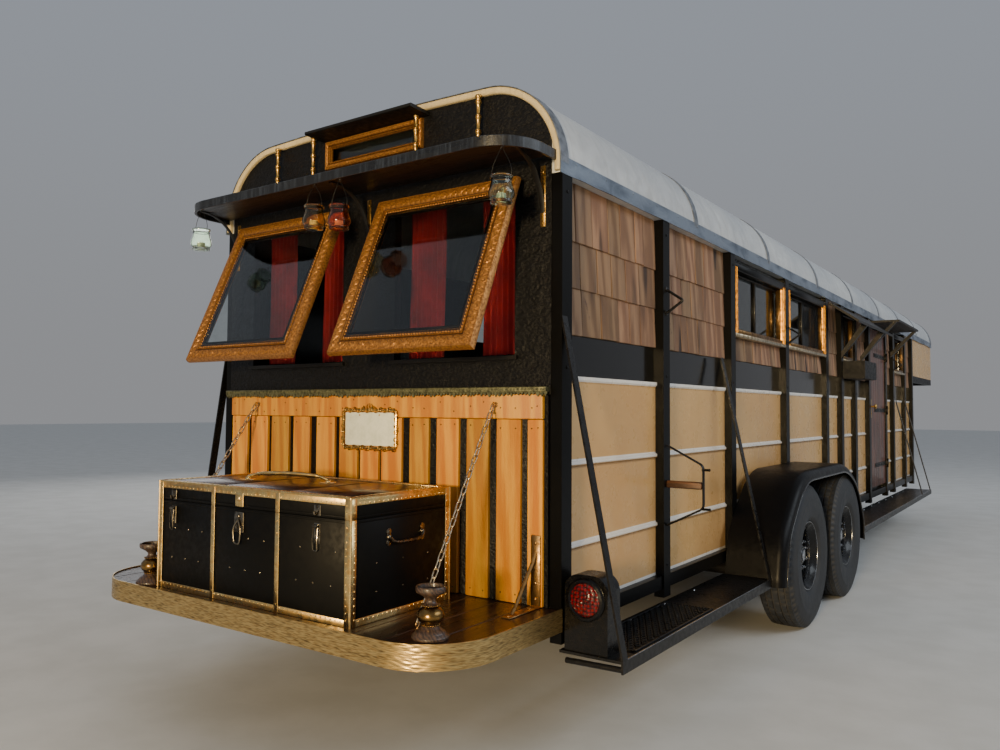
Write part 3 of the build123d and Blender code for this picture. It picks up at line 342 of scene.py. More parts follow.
class Finish(Wiring):
    """Material with its coordinates and chance number at hand."""

    def __init__(self, name, coat=0.0, coat_rough=0.08, **plain):
        self.made = bpy.data.materials.new(name)
        self.made.use_nodes = True
        super().__init__(self.made.node_tree)
        self.shader = self.tree.nodes["Principled BSDF"]
        self.place = self.put("TexCoord", {}).outputs["Object"]
        self.cut, self.relief = [self.put("Attribute", {}, attribute_name=label).outputs["Fac"]
                                 for label in ("cut", "relief")]
        if coat:
            plain.update(Coat_Weight=coat, Coat_Roughness=coat_rough)
        for socket, value in plain.items():
            self.shader.inputs[socket.replace("_", " ")].default_value = value

    def use(self, group, out="Mask", **feeds):
        """What a group puts out at this finish's place."""
        node = self.put("Group", {"Place": self.place, **feeds}, node_tree=group)
        outs = [node.outputs[name] for name in out.split()]
        return outs[0] if len(outs) == 1 else outs

    def over(self, tone, colour, group, **feeds):
        """A tone with a second colour over it where a group's mask is."""
        return self.mix(self.use(group, **feeds), tone, colour)

    def feed(self, socket, value):
        self.tree.links.new(value, self.shader.inputs[socket])

    def done(self, tone, rough, height, dent, strength=0.6):
        """Feed the shader with colour, gloss and relief, and give back the material."""
        bump = self.put("Bump", {"Height": height, "Distance": dent, "Strength": strength}).outputs[0]
        for socket, value in (("Base Color", tone), ("Roughness", rough), ("Normal", bump)):
            self.feed(socket, value)
        return self.made


def wood(name, pale, dark, stretch, rough=(0.4, 0.65), knotty=0.0, knot=(58, 30, 16), coat=0.0,
         grime=None, grime_amount=0.3, dent=0.0012, knot_rate=0.55):
    """Timber finish; stretch is small along the boards."""
    f = Finish(name, coat, 0.12)
    tone, height = f.use(grain, "Color Height", Stretch=stretch, Cut=f.cut, Pale=shade(pale), Dark=shade(dark))
    if knotty:
        tone = f.over(tone, knot, knots, Stretch=tuple(v * knot_rate for v in stretch), Cut=f.cut, Amount=knotty)
    if grime:
        tone = f.over(tone, grime, wear, Scale=5.0, Amount=grime_amount)
    return f.done(tone, f.range(height, 0.5, 1.3, *rough), height, dent)


def paint(name, colour, worn=(70, 48, 32), rough=(0.25, 0.5), amount=0.2, scale=6.0, grime=(96, 88, 76),
          dusty=0.25, top=1.2, metal_worn=0.0, dent=0.0004, coat=0.0, run=0.0, gleam=0.3):
    """Painted finish with cloudy tone, rubbed patches and dust low down."""
    f = Finish(name, coat, Specular_IOR_Level=gleam)
    tone = f.mix(f.range(f.clouds(3.0, 6.0, 0.6)), shade(colour, 0.82), shade(colour, 1.12))
    if run:
        tone = f.over(tone, grime, streaks, Amount=run)
    mask = f.use(wear, Scale=scale, Amount=amount)
    dirt = f.use(dust, Top=top, Amount=dusty)
    tone = f.mix(dirt, f.mix(mask, tone, worn), grime)
    fine = f.clouds(40.0, 4.0, 0.6)
    if metal_worn:
        f.feed("Metallic", f.times(mask, metal_worn))
    gloss = f.add(f.range(fine, 0.3, 0.7, *rough), f.times(dirt, 0.35), True)
    return f.done(tone, gloss, f.sum("SUBTRACT", fine, mask), dent)


def metal(name, bright, dull, rough=(0.22, 0.5), scale=60.0, tarnish=(50, 34, 16), tarnished=0.35,
          metallic=1.0, dent=0.0004, stretch=(1, 1, 1)):
    """Bare metal with a dented surface and tarnish in patches."""
    f = Finish(name, Metallic=metallic)
    height = f.use(hammer, "Height", Stretch=stretch, Scale=scale)
    tone = f.mix(f.range(height, 0.5, 1.2), dull, bright)
    tone = f.mix(f.times(f.use(wear, Scale=14.0, Amount=tarnished), 0.8), tone, tarnish)
    tone = f.mix(f.times(f.range(f.relief, 0.0, 0.75, 1.0, 0.0), 0.85), tone, tarnish)
    return f.done(tone, f.range(height, 0.5, 1.2, rough[1], rough[0]), height, dent)


def glass(name, colour, rough=0.02, dirt=0.05):
    """Glass with faint smears in its gloss."""
    f = Finish(name, Transmission_Weight=1.0, IOR=1.45)
    smear = f.clouds(9.0, 6.0, 0.7, 1.0)
    return f.done(f.mix(f.range(smear), colour, shade(colour, 0.9)), f.range(smear, 0.45, 0.75, rough, rough + dirt),
                  f.clouds(6.0, 2.0), 0.0006, 0.3)


along_y, along_x, along_z = (9.0, 0.7, 9.0), (0.7, 9.0, 9.0), (9.0, 9.0, 0.7)
cedar_shingle = wood("cedar_shingle", (154, 120, 90), (112, 80, 56), (4.6, 4.6, 0.75), (0.55, 0.8), 1.0,
                     (30, 15, 10), 0.0, (84, 60, 46), 0.5, 0.0018, 2.8)
cedar_slat = wood("cedar_slat", (206, 148, 42), (176, 108, 22), (7, 7, 0.5), (0.36, 0.55), 0.3, (112, 54, 18))
door_board = wood("door_board", (112, 66, 48), (62, 32, 23), along_z, (0.35, 0.6), 0.3, (60, 28, 18), 0.3)
deck_plank = wood("deck_plank", (60, 32, 19), (24, 13, 9), along_y, (0.2, 0.4), 0.35, (20, 12, 8), 0.2,
                  (24, 18, 14), 0.4)
stand_wood = wood("stand_wood", (84, 62, 46), (34, 25, 20), (30, 30, 30), (0.3, 0.5), coat=0.3)
arm_wood = wood("arm_wood", (108, 66, 38), (46, 26, 15), along_x, (0.4, 0.6), 0.3)
awning_wood = wood("awning_wood", (24, 16, 12), (10, 7, 6), along_y, (0.35, 0.6), 0.3,
                   grime=(18, 15, 13), grime_amount=0.5)
floor_ply = wood("floor_ply", (150, 120, 86), (98, 74, 50), along_y, (0.6, 0.8), 0.2)

post_black = paint("post_black", (8, 8, 8), (24, 19, 16), (0.3, 0.34), 0.05, 5.0, (26, 24, 22), 0.08,
                   dent=0.00002, run=0.05, gleam=0.12)
band_black = paint("band_black", (10, 11, 12), (46, 44, 42), (0.12, 0.2), 0.02, 3.0, (30, 32, 32), 0.04, 2.0,
                   dent=0.00004, coat=0.3)
frame_black = paint("frame_black", (14, 14, 15), (72, 48, 32), (0.4, 0.65), 0.18, 8.0, (70, 62, 52), 0.3, 1.0)
board_black = paint("board_black", (12, 13, 15), (66, 64, 62), (0.24, 0.46), 0.12, 7.0, (50, 46, 42), 0.14, 1.0, 0.6)
pad_worn = paint("pad_worn", (15, 16, 18), (118, 116, 112), (0.25, 0.45), 0.5, 30.0, (60, 54, 46), 0.1, 0.9, 0.8)
stay_black = paint("stay_black", (13, 12, 12), (116, 98, 80), (0.2, 0.45), 0.34, 9.0, (56, 48, 40), 0.1, 1.2, 0.5)
rim_black = paint("rim_black", (9, 10, 12), (110, 114, 122), (0.14, 0.32), 0.12, 18.0, (54, 50, 46), 0.16, 0.7, 0.8,
                  coat=0.3)
jack_grey = paint("jack_grey", (66, 68, 70), (120, 72, 40), (0.4, 0.6), 0.2, 12.0, (110, 98, 82), 0.4, 1.2, 0.3)
iron = paint("bracket_iron", (18, 17, 16), (96, 80, 62), (0.3, 0.55), 0.35, 16.0, metal_worn=0.7)
lamp_black = paint("lamp_black", (8, 8, 9), (46, 44, 42), (0.16, 0.34), 0.1, 12.0, (44, 40, 36), 0.14, 0.9)
leather = paint("trunk_black", (7, 7, 7), (44, 38, 32), (0.4, 0.55), 0.08, 9.0, (30, 27, 23), 0.08, 1.0,
                dent=0.0003, gleam=0.12)
fender_black = paint("fender_black", (9, 9, 11), (60, 56, 52), (0.3, 0.44), 0.06, 8.0, (34, 32, 30), 0.08, 0.9,
                     dent=0.0002, gleam=0.14)
trim_cream = paint("trim_cream", (206, 190, 152), (120, 104, 84), (0.35, 0.6), 0.16, 7.0, (120, 112, 96), 0.3, 3.5,
                   run=0.3)
bead_black = paint("bead_black", (20, 22, 26), (170, 176, 184), (0.12, 0.28), 0.35, 8.0, metal_worn=0.9, coat=0.3)

sill_metal = metal("sill_metal", (196, 182, 154), (132, 118, 92), (0.28, 0.46), 30.0, (70, 58, 40), 0.25, 0.8)
window_bronze = metal("window_bronze", (128, 96, 54), (70, 50, 28), (0.3, 0.5), 40.0, (34, 24, 14), 0.3, 0.8)
brass = metal("old_brass", (214, 174, 98), (150, 108, 52), (0.24, 0.46), 90.0)
trunk_brass = metal("trunk_brass", (234, 204, 140), (196, 158, 98), (0.26, 0.42), 40.0, (110, 80, 44), 0.14)
latch_dark = metal("latch_dark", (138, 128, 110), (52, 46, 40), (0.2, 0.4), 50.0, (24, 20, 16), 0.4)
bronze_ball = metal("bronze_ball", (156, 122, 70), (84, 60, 32), (0.18, 0.36), 30.0, (40, 28, 16), 0.4)
brace_tan = metal("brace_tan", (190, 152, 100), (128, 96, 58), (0.34, 0.55), 60.0, (70, 50, 30), 0.4)
band_gold = metal("band_gold", (208, 180, 122), (150, 122, 76), (0.3, 0.5), 60.0, (62, 46, 26), 0.16, 0.95,
                  stretch=(0.5, 0.5, 6.0))
gilt = metal("gilt_frame", (170, 118, 58), (112, 72, 34), (0.4, 0.6), 120.0, (48, 27, 12), 0.32, 0.6)
gilt_bright = metal("gilt_upright", (204, 148, 62), (136, 86, 30), (0.34, 0.5), 40.0, (90, 50, 18), 0.2)
steel = metal("bright_steel", (196, 198, 202), (120, 122, 126), (0.14, 0.34), 80.0, (84, 66, 52), 0.2)
chain_steel = metal("chain_steel", (206, 192, 166), (124, 106, 84), (0.3, 0.5), 120.0, (70, 44, 28), 0.4)
patina = metal("patina_lace", (104, 104, 76), (56, 58, 42), (0.45, 0.65), 60.0, (26, 24, 18), 0.5, 0.5)
flash_blue = metal("flashing_blue", (132, 144, 160), (84, 94, 108), (0.28, 0.5), 14.0, (70, 74, 80), 0.2, 0.55,
                   0.003, (1.0, 0.35, 1.0))
strap_dark = metal("strap_dark", (128, 134, 142), (84, 88, 96), (0.3, 0.5), 30.0, metallic=0.5)

window_glass = glass("window_glass", (205, 212, 210), 0.0, 0.03)
jar_green = glass("jar_green", (220, 234, 218))
jar_amber = glass("jar_amber", (250, 226, 164))
jar_orange = glass("jar_orange", (252, 178, 136))

# Tan panels with painted highlights as pale bands on the ribs and the upper and lower edges, and painted shadows just
# under the ribs
f = Finish("tan_panel")
cloud = f.clouds(1.6, 6.0, 0.6)
tone = f.mix(f.range(cloud), (196, 152, 96), (208, 168, 112))
tone = f.over(tone, (170, 134, 88), streaks, Stretch=(3, 3, 0.3), Amount=0.1)
height = f.part(f.place)
# Pale bands at the ribs and at the top and foot edges: painted highlights
pale = None
for low, high in ((0.49, 0.513), (0.737, 0.756), (1.061, 1.080), (1.392, 1.42)):
    rib_highlight = f.times(f.range(height, low - 0.003, low), f.range(height, high + 0.003, high))
    pale = f.sum("MAXIMUM", pale, rib_highlight) if pale else rib_highlight
tone = f.mix(f.times(pale, f.range(cloud, 0.25, 0.5, 0.7, 1.0)), tone, (232, 228, 220))
# Darker band just under each rib: a painted shadow
for low in (0.722, 1.046):
    under = f.times(f.range(height, low - 0.004, low + 0.002), f.range(height, low + 0.02, low + 0.012))
    tone = f.mix(f.times(under, 0.6), tone, (120, 92, 60))
tone = f.over(tone, (134, 112, 84), dust, Top=1.0, Amount=0.22)
tan_panel = f.done(tone, f.range(f.clouds(12.0, 4.0), 0.3, 0.7, 0.22, 0.42), f.clouds(2.2, 3.0), 0.006, 0.35)

# Black rear wall, pressed all over with small crumpled dents
f = Finish("rear_black", Specular_IOR_Level=0.22)
height = f.use(hammer, "Height", Stretch=(1.0, 1.0, 1.4), Scale=70.0)
tone = f.mix(f.range(height, 0.5, 1.3), (5, 5, 6), (16, 16, 18))
tone = f.over(tone, (60, 52, 44), wear, Scale=26.0, Amount=0.1)
rear_black = f.done(tone, f.range(height, 0.5, 1.3, 0.5, 0.34), height, 0.003, 0.8)

# Pale metal roof with soft waves and water marks
f = Finish("roof_pale", Metallic=0.25)
tone = f.mix(f.range(f.clouds(1.1, 5.0, 0.6)), (186, 190, 194), (214, 216, 214))
tone = f.over(tone, (150, 150, 146), streaks, Stretch=(0.7, 7, 1.2), Amount=0.35)
tone = f.over(tone, (128, 122, 112), wear, Scale=7.0, Amount=0.08)
waves = f.clouds(2.0, 2.0, place=f.vector("MULTIPLY", f.place, (1.0, 0.35, 1.0)))
roof_pale = f.done(tone, f.range(f.clouds(15.0, 4.0), 0.3, 0.7, 0.28, 0.5), waves, 0.02, 0.35)

# Shelf with a streaky black edge and top, red-brown underneath
f = Finish("shelf_board")
under, height = f.use(grain, "Color Height", Stretch=along_x, Cut=0.5,
                      Pale=shade((44, 26, 17)), Dark=shade((18, 11, 8)))
top = f.mix(f.use(streaks, Stretch=(14, 14, 1), Amount=0.8), (14, 15, 18), (52, 60, 74))
facing = f.part(f.put("NewGeometry", {}).outputs["Normal"])
tone = f.mix(f.range(facing, -0.3, -0.6), top, under)
shelf_board = f.done(tone, f.range(height, 0.5, 1.3, 0.2, 0.45), height, 0.0012)

# Worn tyre rubber, tinted slightly blue grey as a painted sky sheen, paler where dust sits
f = Finish("tyre_rubber")
cloud = f.clouds(9.0, 7.0, 0.7)
tone = f.mix(f.range(cloud), (24, 26, 29), (42, 45, 50))
tone = f.over(tone, (72, 72, 72), wear, Scale=24.0, Amount=0.16)
tone = f.mix(f.times(f.range(f.relief, 1.0, 0.2), 0.3), tone, (86, 80, 70))
rubber = f.done(tone, f.range(cloud, 0.3, 0.7, 0.55, 0.8), f.clouds(220.0, 3.0), 0.0004)

# Red curtain cloth with a fine weave and a soft sheen
f = Finish("curtain_red", Sheen_Weight=0.25, Sheen_Roughness=0.4, Sheen_Tint=shade((255, 130, 130)))
weave, warp = [f.put("TexWave", {"Vector": f.place, "Scale": 260.0}, bands_direction=way).outputs["Fac"]
               for way in "ZX"]
tone = f.mix(f.range(f.clouds(7.0, 5.0)), (128, 8, 18), (176, 16, 28))
curtain_red = f.done(tone, f.range(weave, 0.0, 1.0, 0.55, 0.8), f.add(weave, warp), 0.0003)

# Red lamp lens with a moulded pattern
f = Finish("lamp_lens", Coat_Weight=0.2, IOR=1.45)
cells = f.cells(70.0, 0.3)["Distance"]
tone = f.mix(f.range(cells, 0.1, 0.6), (116, 5, 13), (32, 0, 4))
lamp_lens = f.done(tone, f.range(cells, 0.0, 0.7, 0.15, 0.35), cells, 0.0015)

# White enamel plate, bare, with faint marks
f = Finish("plate_enamel")
cloud = f.clouds(30.0, 6.0, 0.7)
tone = f.mix(f.range(cloud, 0.35, 0.7), (226, 230, 218), (206, 212, 198))
tone = f.over(tone, (140, 132, 112), wear, Scale=30.0, Amount=0.16)
plate_enamel = f.done(tone, f.range(cloud, 0.3, 0.7, 0.3, 0.5), cloud, 0.0005)

# Solids that keep their shape, with their finish and the width of their soft edge
kept = (
    (frame_black, 0.002, "chassis_frame axle_rear axle_front leaf_springs"), (floor_ply, 0.0, "floor"),
    (frame_black, 0.003, "gooseneck_frame planter_box"), (band_black, 0.0, "wall_right wall_left"),
    (rear_black, 0.002, "rear_wall"), (post_black, 0.002, "front_wall"), (post_black, 0.004, "wall_posts"),
    (tan_panel, 0.003, "nose_shell"), (tan_panel, 0.002, "side_panels"), (roof_pale, 0.0, "roof_skin"),
    (iron, 0.001, "window_hinges"), (iron, 0.002, "window_sills"), (brass, 0.0, "curtain_rods"),
    (window_glass, 0.0, "side_glass window_glass_right window_glass_left"), (board_black, 0.002, "running_boards"),
    (stay_black, 0.0025, "board_stays"), (lamp_black, 0.005, "lamp_boxes"), (jack_grey, 0.003, "landing_jack"),
    (awning_wood, 0.003, "eave_awning"),
)
for made, soft, nodes in kept:
    for node in nodes.split():
        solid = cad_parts[node]
        solid.data.materials.clear()
        solid.data.materials.append(made)
        if soft:
            edge = solid.modifiers.new("soft_edge", "BEVEL")
            edge.width, edge.segments, edge.limit_method = soft, 2, "ANGLE"
            edge.angle_limit, edge.use_clamp_overlap = radians(35), True

# Cedar shingles: tapered boards in three courses, cut to the bays between the posts
courses = ((1.575, 1.761), (1.761, 1.949), (1.949, eave))
for sign, side in ((1, "right"), (-1, "left")):
    work = Stock()
    for start, end, fill in bays:
        if fill == "door" and sign > 0:
            continue
        for foot, head in ((1.575, 1.711),) if fill in ("window", "screen") else courses:
            at = start + 0.001
            while at < end - 0.004:
                width = chance.choice((0.09, 0.12, 0.14, 0.15, 0.17)) + chance.uniform(-0.01, 0.01)
                stop = end - 0.001 if end - at - width < 0.05 else at + width
                work.cut = chance.random()
                low = foot + chance.uniform(-0.0005, 0.003)
                butt = skin + 0.0145 + chance.uniform(-0.0025, 0.0015)
                top = min(head + (0.02 if head < eave and fill == "shingles" else 0.0), eave - 0.001)
                tip = skin + 0.005 + chance.uniform(-0.001, 0.001)
                gap = chance.uniform(0.0012, 0.003)
                rings = []
                for z, x, inset in ((low, butt - 0.0015, 0.0012), (low + 0.0015, butt, 0.0), (top, tip, 0.0)):
                    a, b = at + gap + inset, stop - gap - inset
                    rings.append([(sign * out, y, z) for out, y in (
                        (skin, a), (x - 0.002, a), (x, a + 0.002), (x, b - 0.002), (x - 0.002, b), (skin, b))])
                work.loft(rings)
                at = stop
    hand_over(work, "shingles_" + side, cedar_shingle, "shingles" if sign > 0 else "", 25)

# Slat boards on the rear wall, with their nails
back, upward = (0, -1, 0), (0, 0, 1)
slat_spans = ((-0.935, -0.816), (-0.784, -0.661), (-0.631, -0.506), (-0.47, -0.358), (-0.31, -0.19),
              (-0.157, -0.042), (-0.023, 0.087), (0.105, 0.223), (0.268, 0.374), (0.418, 0.534),
              (0.576, 0.686), (0.725, 0.839), (0.872, 0.940))
work = Stock()
for low, high in slat_spans:
    work.cut = chance.random()
    work.bar((low, -0.0195 + chance.uniform(0, 0.001), deck_top + 0.002), (high, -0.001, 1.2385), 0.003)
work.cut = 0.62
work.bar((-0.94, -0.021, 1.2405), (0.94, -0.001, 1.338), 0.003)
work.finish = 1
for low, high in slat_spans:
    for x in (low + 0.022, high - 0.022):
        for z in (deck_top + 0.03, 1.21):
            nail = (x + chance.uniform(-0.004, 0.004), -0.0195, z + chance.uniform(-0.006, 0.006))
            work.dome(nail, back, 0.0032, 0.0014, 6)
        work.dome((x, -0.0215, 1.29 + chance.uniform(-0.03, 0.03)), back, 0.0032, 0.0014, 6)
work.finish = 2
work.bar((-0.94, -0.004, deck_top), (0.94, 0.0, 1.24), 0.001)
hand_over(work, "slat_boards", [cedar_slat, iron, rear_black], "slat_panel")

# Pressed strip over the slats, with a toothed lower edge
work = Stock()
work.bar((-0.975, -0.034, 1.345), (0.962, -0.001, 1.366), 0.003)
at = -0.972
while at < 0.955:
    wide = chance.uniform(0.012, 0.02)
    low = 1.346 - chance.uniform(0.010, 0.019)
    tooth = [(at, 1.347)] + [(at + wide * share, low + rise) for share, rise in (
        (0.1, 0.006), (0.35, 0.001), (0.5, -0.002), (0.68, 0.002), (0.9, 0.007))] + [(at + wide, 1.347)]
    work.loft([[(x, y, z) for x, z in tooth] for y in (-0.0315, -0.0275)])
    work.dome((at + wide * 0.5, -0.034, 1.355), back, 0.005, 0.003)
    at += wide + 0.001
hand_over(work, "lace_strip", patina)

# Bare plate in a frame of scrolls with a small crest
work = Stock()
cx, cz, out = 0.04, 1.187, -0.021
half_w, half_h = 0.160, 0.084
work.bar((cx - 0.15, out - 0.006, cz - 0.074), (cx + 0.15, out, cz + 0.074), 0.003)
work.finish = 1
edge = rounded([(cx + a * half_w, out - 0.007, cz + b * half_h)
                for a, b in ((-1, 0), (-1, 1), (1, 1), (1, -1), (-1, -1), (-1, 0))], 0.012)
work.tube(edge[:-1], 0.0048, loop=True)
for a, b, dx, dz, count in ((-1, 1, 1, 0, 12), (-1, -1, 1, 0, 12), (-1, -1, 0, 1, 6), (1, -1, 0, 1, 6)):
    for n in range(count):
        run = (n + 0.5) * 2 * (half_w if dx else half_h) / count
        x, z = cx + a * half_w + dx * run, cz + b * half_h + dz * run
        flip = 1 if n % 2 else -1
        curl = [(x + size * cos(flip * t), out - 0.009, z + size * sin(flip * t))
                for t, size in [(k * 0.5, 0.004 + 0.009 * k * 0.5 / 6) for k in range(13)]]
        work.tube(curl, [0.0028] * 12 + [0.0015], 5)
for dx in (-0.026, -0.013, 0.0, 0.013, 0.026):
    tall = 0.012 + 0.02 * cos(dx * 50)
    work.tube([(cx + dx * lean, out - 0.008, cz + half_h + tall * rise)
               for lean, rise in ((1, 0), (1.4, 0.6), (0.9, 1))], [0.004, 0.003, 0.0015], 6)
for x in (cx - 0.06, cx + 0.06):
    work.dome((x, out - 0.006, cz + 0.062), back, 0.004, 0.002)
hand_over(work, "plate_with_frame", [plate_enamel, brass], "number_plate")


# Carved gilt frames
def carved_frame(stock, half_w, half_h, rim, depth, step, scroll):
    """Mitred moulding: a broad band of scrolls, a groove and a narrow band of leaves."""
    across = 30

    def ridge(value, width):
        return exp(-(value / width) ** 2)

    def profile(v, s):
        if v < 0.05:
            return 0.35 + v / 0.05 * 0.42, 0.8
        if v < 0.11:
            return 0.80, 1.0
        if v < 0.62:
            half_turn = scroll / 2
            number = floor(s / half_turn)
            flip = 1 if number % 2 else -1
            stem = 0.365 + flip * 0.15 * sin(pi * (s / half_turn - number))
            dx, dy = s - (number + 0.5) * half_turn, (v - 0.365 + flip * 0.07) * rim
            away = hypot(dx, dy)
            sprig = ridge((v - 0.365 - flip * 0.15) * rim, rim * 0.07) * max(0.0, sin(s / scroll * 14 * pi))
            cut = max(ridge((v - stem) * rim, rim * 0.03), ridge(away, rim * 0.05), 0.7 * sprig,
                      ridge(away - rim * (0.13 - 0.012 * atan2(dy, dx * flip)), rim * 0.03))
            return 0.74 + 0.16 * sin(pi * (v - 0.11) / 0.51) + 0.10 * cut, 0.15 + 0.85 * min(1.0, cut + 0.3)
        if v < 0.67:
            return 0.64, 0.05
        if v < 0.73:
            return 0.8, 1.0
        if v < 0.88:
            t = (v - 0.73) / 0.15
            leaf = abs(sin((s + 0.004 * abs(t - 0.5)) / (scroll * 0.25) * pi)) ** 0.7 * sin(pi * t)
            return 0.56 + 0.2 * leaf, 0.05 + 0.95 * leaf
        if v < 0.92:
            return 0.5, 0.1
        return 0.58 - 0.2 * (v - 0.92) / 0.08, 0.8

    rings, heights = [], []
    line = [(k / across, True) for k in range(across + 1)] + [(1.0, False), (0.0, False)]
    for corner, heading, half in (((-1, 1), (1, 0), half_w), ((1, 1), (0, -1), half_h),
                                  ((1, -1), (-1, 0), half_w), ((-1, -1), (0, 1), half_h)):
        count = max(4, int(2 * half / step))
        for n in range(count):
            ring, relief = [], []
            for v, carved in line:
                reach_w, reach_h = half_w - rim * v, half_h - rim * v
                along = (n / count * 2 - 1) * (reach_w if heading[0] else reach_h)
                lift, mark = profile(v, along) if carved else (0.0, 0.5)
                x = heading[0] * along if heading[0] else corner[0] * reach_w
                ring.append((x, -depth * lift, corner[1] * reach_h if heading[0] else heading[1] * along))
                relief.append(mark)
            rings.append(ring)
            heights.append(relief)
    stock.loft(rings, loop=True, heights=heights)


hinge_height, open_angle = 2.192, radians(23.4)
for side, centre in (("right", 0.48), ("left", -0.48)):
    # The frame hangs from its hinge line and stands open below.
    work = Stock(Matrix.Translation((centre, -0.030, hinge_height)) @ Matrix.Rotation(-open_angle, 4, "X")
                 @ Matrix.Translation((0, 0, -0.375 - 0.014)))
    carved_frame(work, 0.37, 0.375, 0.086, 0.034, 0.0027, 0.056)
    work.finish = 1
    for x0, x1, z0, z1 in ((-0.286, 0.286, 0.281, 0.29), (-0.286, 0.286, -0.29, -0.281),
                           (-0.285, -0.276, -0.286, 0.286), (0.276, 0.285, -0.286, 0.286)):
        work.bar((x0, -0.0215, z0), (x1, -0.008, z1))
    for x in (-0.25, 0.25):
        work.turned((x - 0.012, 0, 0.389), (1, 0, 0),
                    ((0.0055, 0), (0.0095, 0.0003), (0.0095, 0.0237), (0.0055, 0.024)), 16)
        work.bar((x - 0.012, -0.006, 0.374), (x + 0.012, -0.001, 0.387), 0.001)
    hand_over(work, "carved_window_" + side, [gilt, iron], "window_frame_" + side, 55, "window_" + side)

work = Stock(Matrix.Translation((0.02, 0, 2.4715)))
carved_frame(work, 0.3, 0.0665, 0.036, 0.024, 0.003, 0.036)
hand_over(work, "carved_transom", gilt, "transom_frame", 55)


def arch_line(grow, steps=14, foot=2.25):
    """Outline of the roof's arch from eave to eave, pushed out by grow."""
    edge, bend, shoulder = half_width + grow, 0.36 + grow, 2.588 + grow
    spring, flat = shoulder - bend, edge - bend
    line = [(edge, foot)]
    line += [(flat + bend * cos(t), spring + bend * sin(t)) for t in [pi / 2 * n / steps for n in range(steps + 1)]]
    line += [(flat * t, shoulder + 0.012 * (1 - t * t)) for t in [1 - n / 6 for n in range(1, 12)]]
    return line + [(-x, z) for x, z in reversed(line[:steps + 2])]


def edge_path(half, depth, corner, across, turns, sides):
    """Points and outward directions round a board with two round corners."""
    flat, centre = half - corner, -(depth - corner)
    bend = [pi / 2 * n / turns for n in range(turns)]
    path = [((half, centre * n / sides), (1, 0)) for n in range(sides)]
    path += [((flat + corner * cos(t), centre - corner * sin(t)), (cos(t), -sin(t))) for t in bend]
    path += [((flat - 2 * flat * n / across, -depth), (0, -1)) for n in range(across)]
    path += [((-flat - corner * sin(t), centre - corner * cos(t)), (-sin(t), -cos(t))) for t in bend]
    return path + [((-half, centre * (1 - n / sides)), (-1, 0)) for n in range(sides + 1)]


# Rounded shelf: a board with a slightly waved edge strip round it
work = Stock()
half, depth, corner, shelf_top, shelf_low = 0.9995, 0.312, 0.19, 2.274, 2.254
wall_face = -0.0225
board = edge_path(half - 0.008, depth - 0.008, corner - 0.008, 40, 16, 8)
work.loft([[(x - ox * inset, min(y - oy * inset, wall_face if abs(x) > 0.95 else -0.0005), shelf_top - drop)
            for (x, y), (ox, oy) in board]
           for drop, inset in ((0.02, 0.002), (0.018, 0.0), (0.003, 0.0), (0.001, 0.002))])
strip = ((0.0, 0.0405), (0.0, 0.003), (0.002, 0.0005), (0.011, 0.0005), (0.012, 0.003), (0.012, 0.0405),
         (0.010, 0.042), (0.002, 0.042))
rings = []
for (x, y), (ox, oy) in edge_path(half, depth, corner, 160, 32, 10):
    wave = 0.0006 * noise.noise(Vector((x * 9, y * 9, 4.0)))
    y = min(y, wall_face)
    rings.append([(x - ox * (inset + wave), y - oy * (inset + wave), shelf_top - drop) for inset, drop in strip])
work.loft(rings)
for x in (-0.819, -0.03, 0.123, 0.918):
    work.dome((x, -0.262 if x > 0.5 else -0.298, shelf_top - 0.042), (0, 0, -1), 0.006, 0.003)
hand_over(work, "streaked_shelf", shelf_board, "rear_shelf")

work = Stock()
hood = ((-0.001, 2.541), (-0.13, 2.5435), (-0.134, 2.546), (-0.134, 2.5565), (-0.13, 2.559), (-0.001, 2.556))
work.loft([[(x, y, z) for y, z in hood] for x in (-0.293, -0.291, 0.353, 0.355)])
hand_over(work, "transom_board", frame_black, "transom_hood", 30)

# Cream rail round the rear arch
work = Stock()
crown = ((0.0, 0.0), (0.0, 0.013), (0.08, 0.0175), (0.25, 0.0198), (0.5, 0.0205), (0.72, 0.0198), (0.9, 0.0175),
         (1.0, 0.013), (1.0, 0.0))
work.loft([[(xa + (xb - xa) * share, -out, za + (zb - za) * share) for share, out in crown]
           for (xa, za), (xb, zb) in zip(arch_line(-0.0005, 22, 2.195), arch_line(-0.0285, 22, 2.195))])
hand_over(work, "arch_rail", trim_cream, "arch_trim")


# Black sheet over the rear wall, crumpled all over
def snapped(values, edges):
    """Grid lines with the nearest one moved onto each edge."""
    for edge in edges:
        values[min(range(len(values)), key=lambda n: abs(values[n] - edge))] = edge
    return values


def sheeted(x, z):
    """Whether the sheet covers a place, outside the windows and under the arch."""
    if 1.49 < z < 2.15 and 0.16 < abs(x) < 0.8 or abs(x) < 0.255 and 2.44 < z < 2.51:
        return False
    over = abs(x) - arch_foot + 0.344
    if z < 2.25 or over <= 0:
        return z < 2.575
    return (over / 0.344) ** 2 + (max(0.0, z - 2.228) / 0.344) ** 2 < 1.0


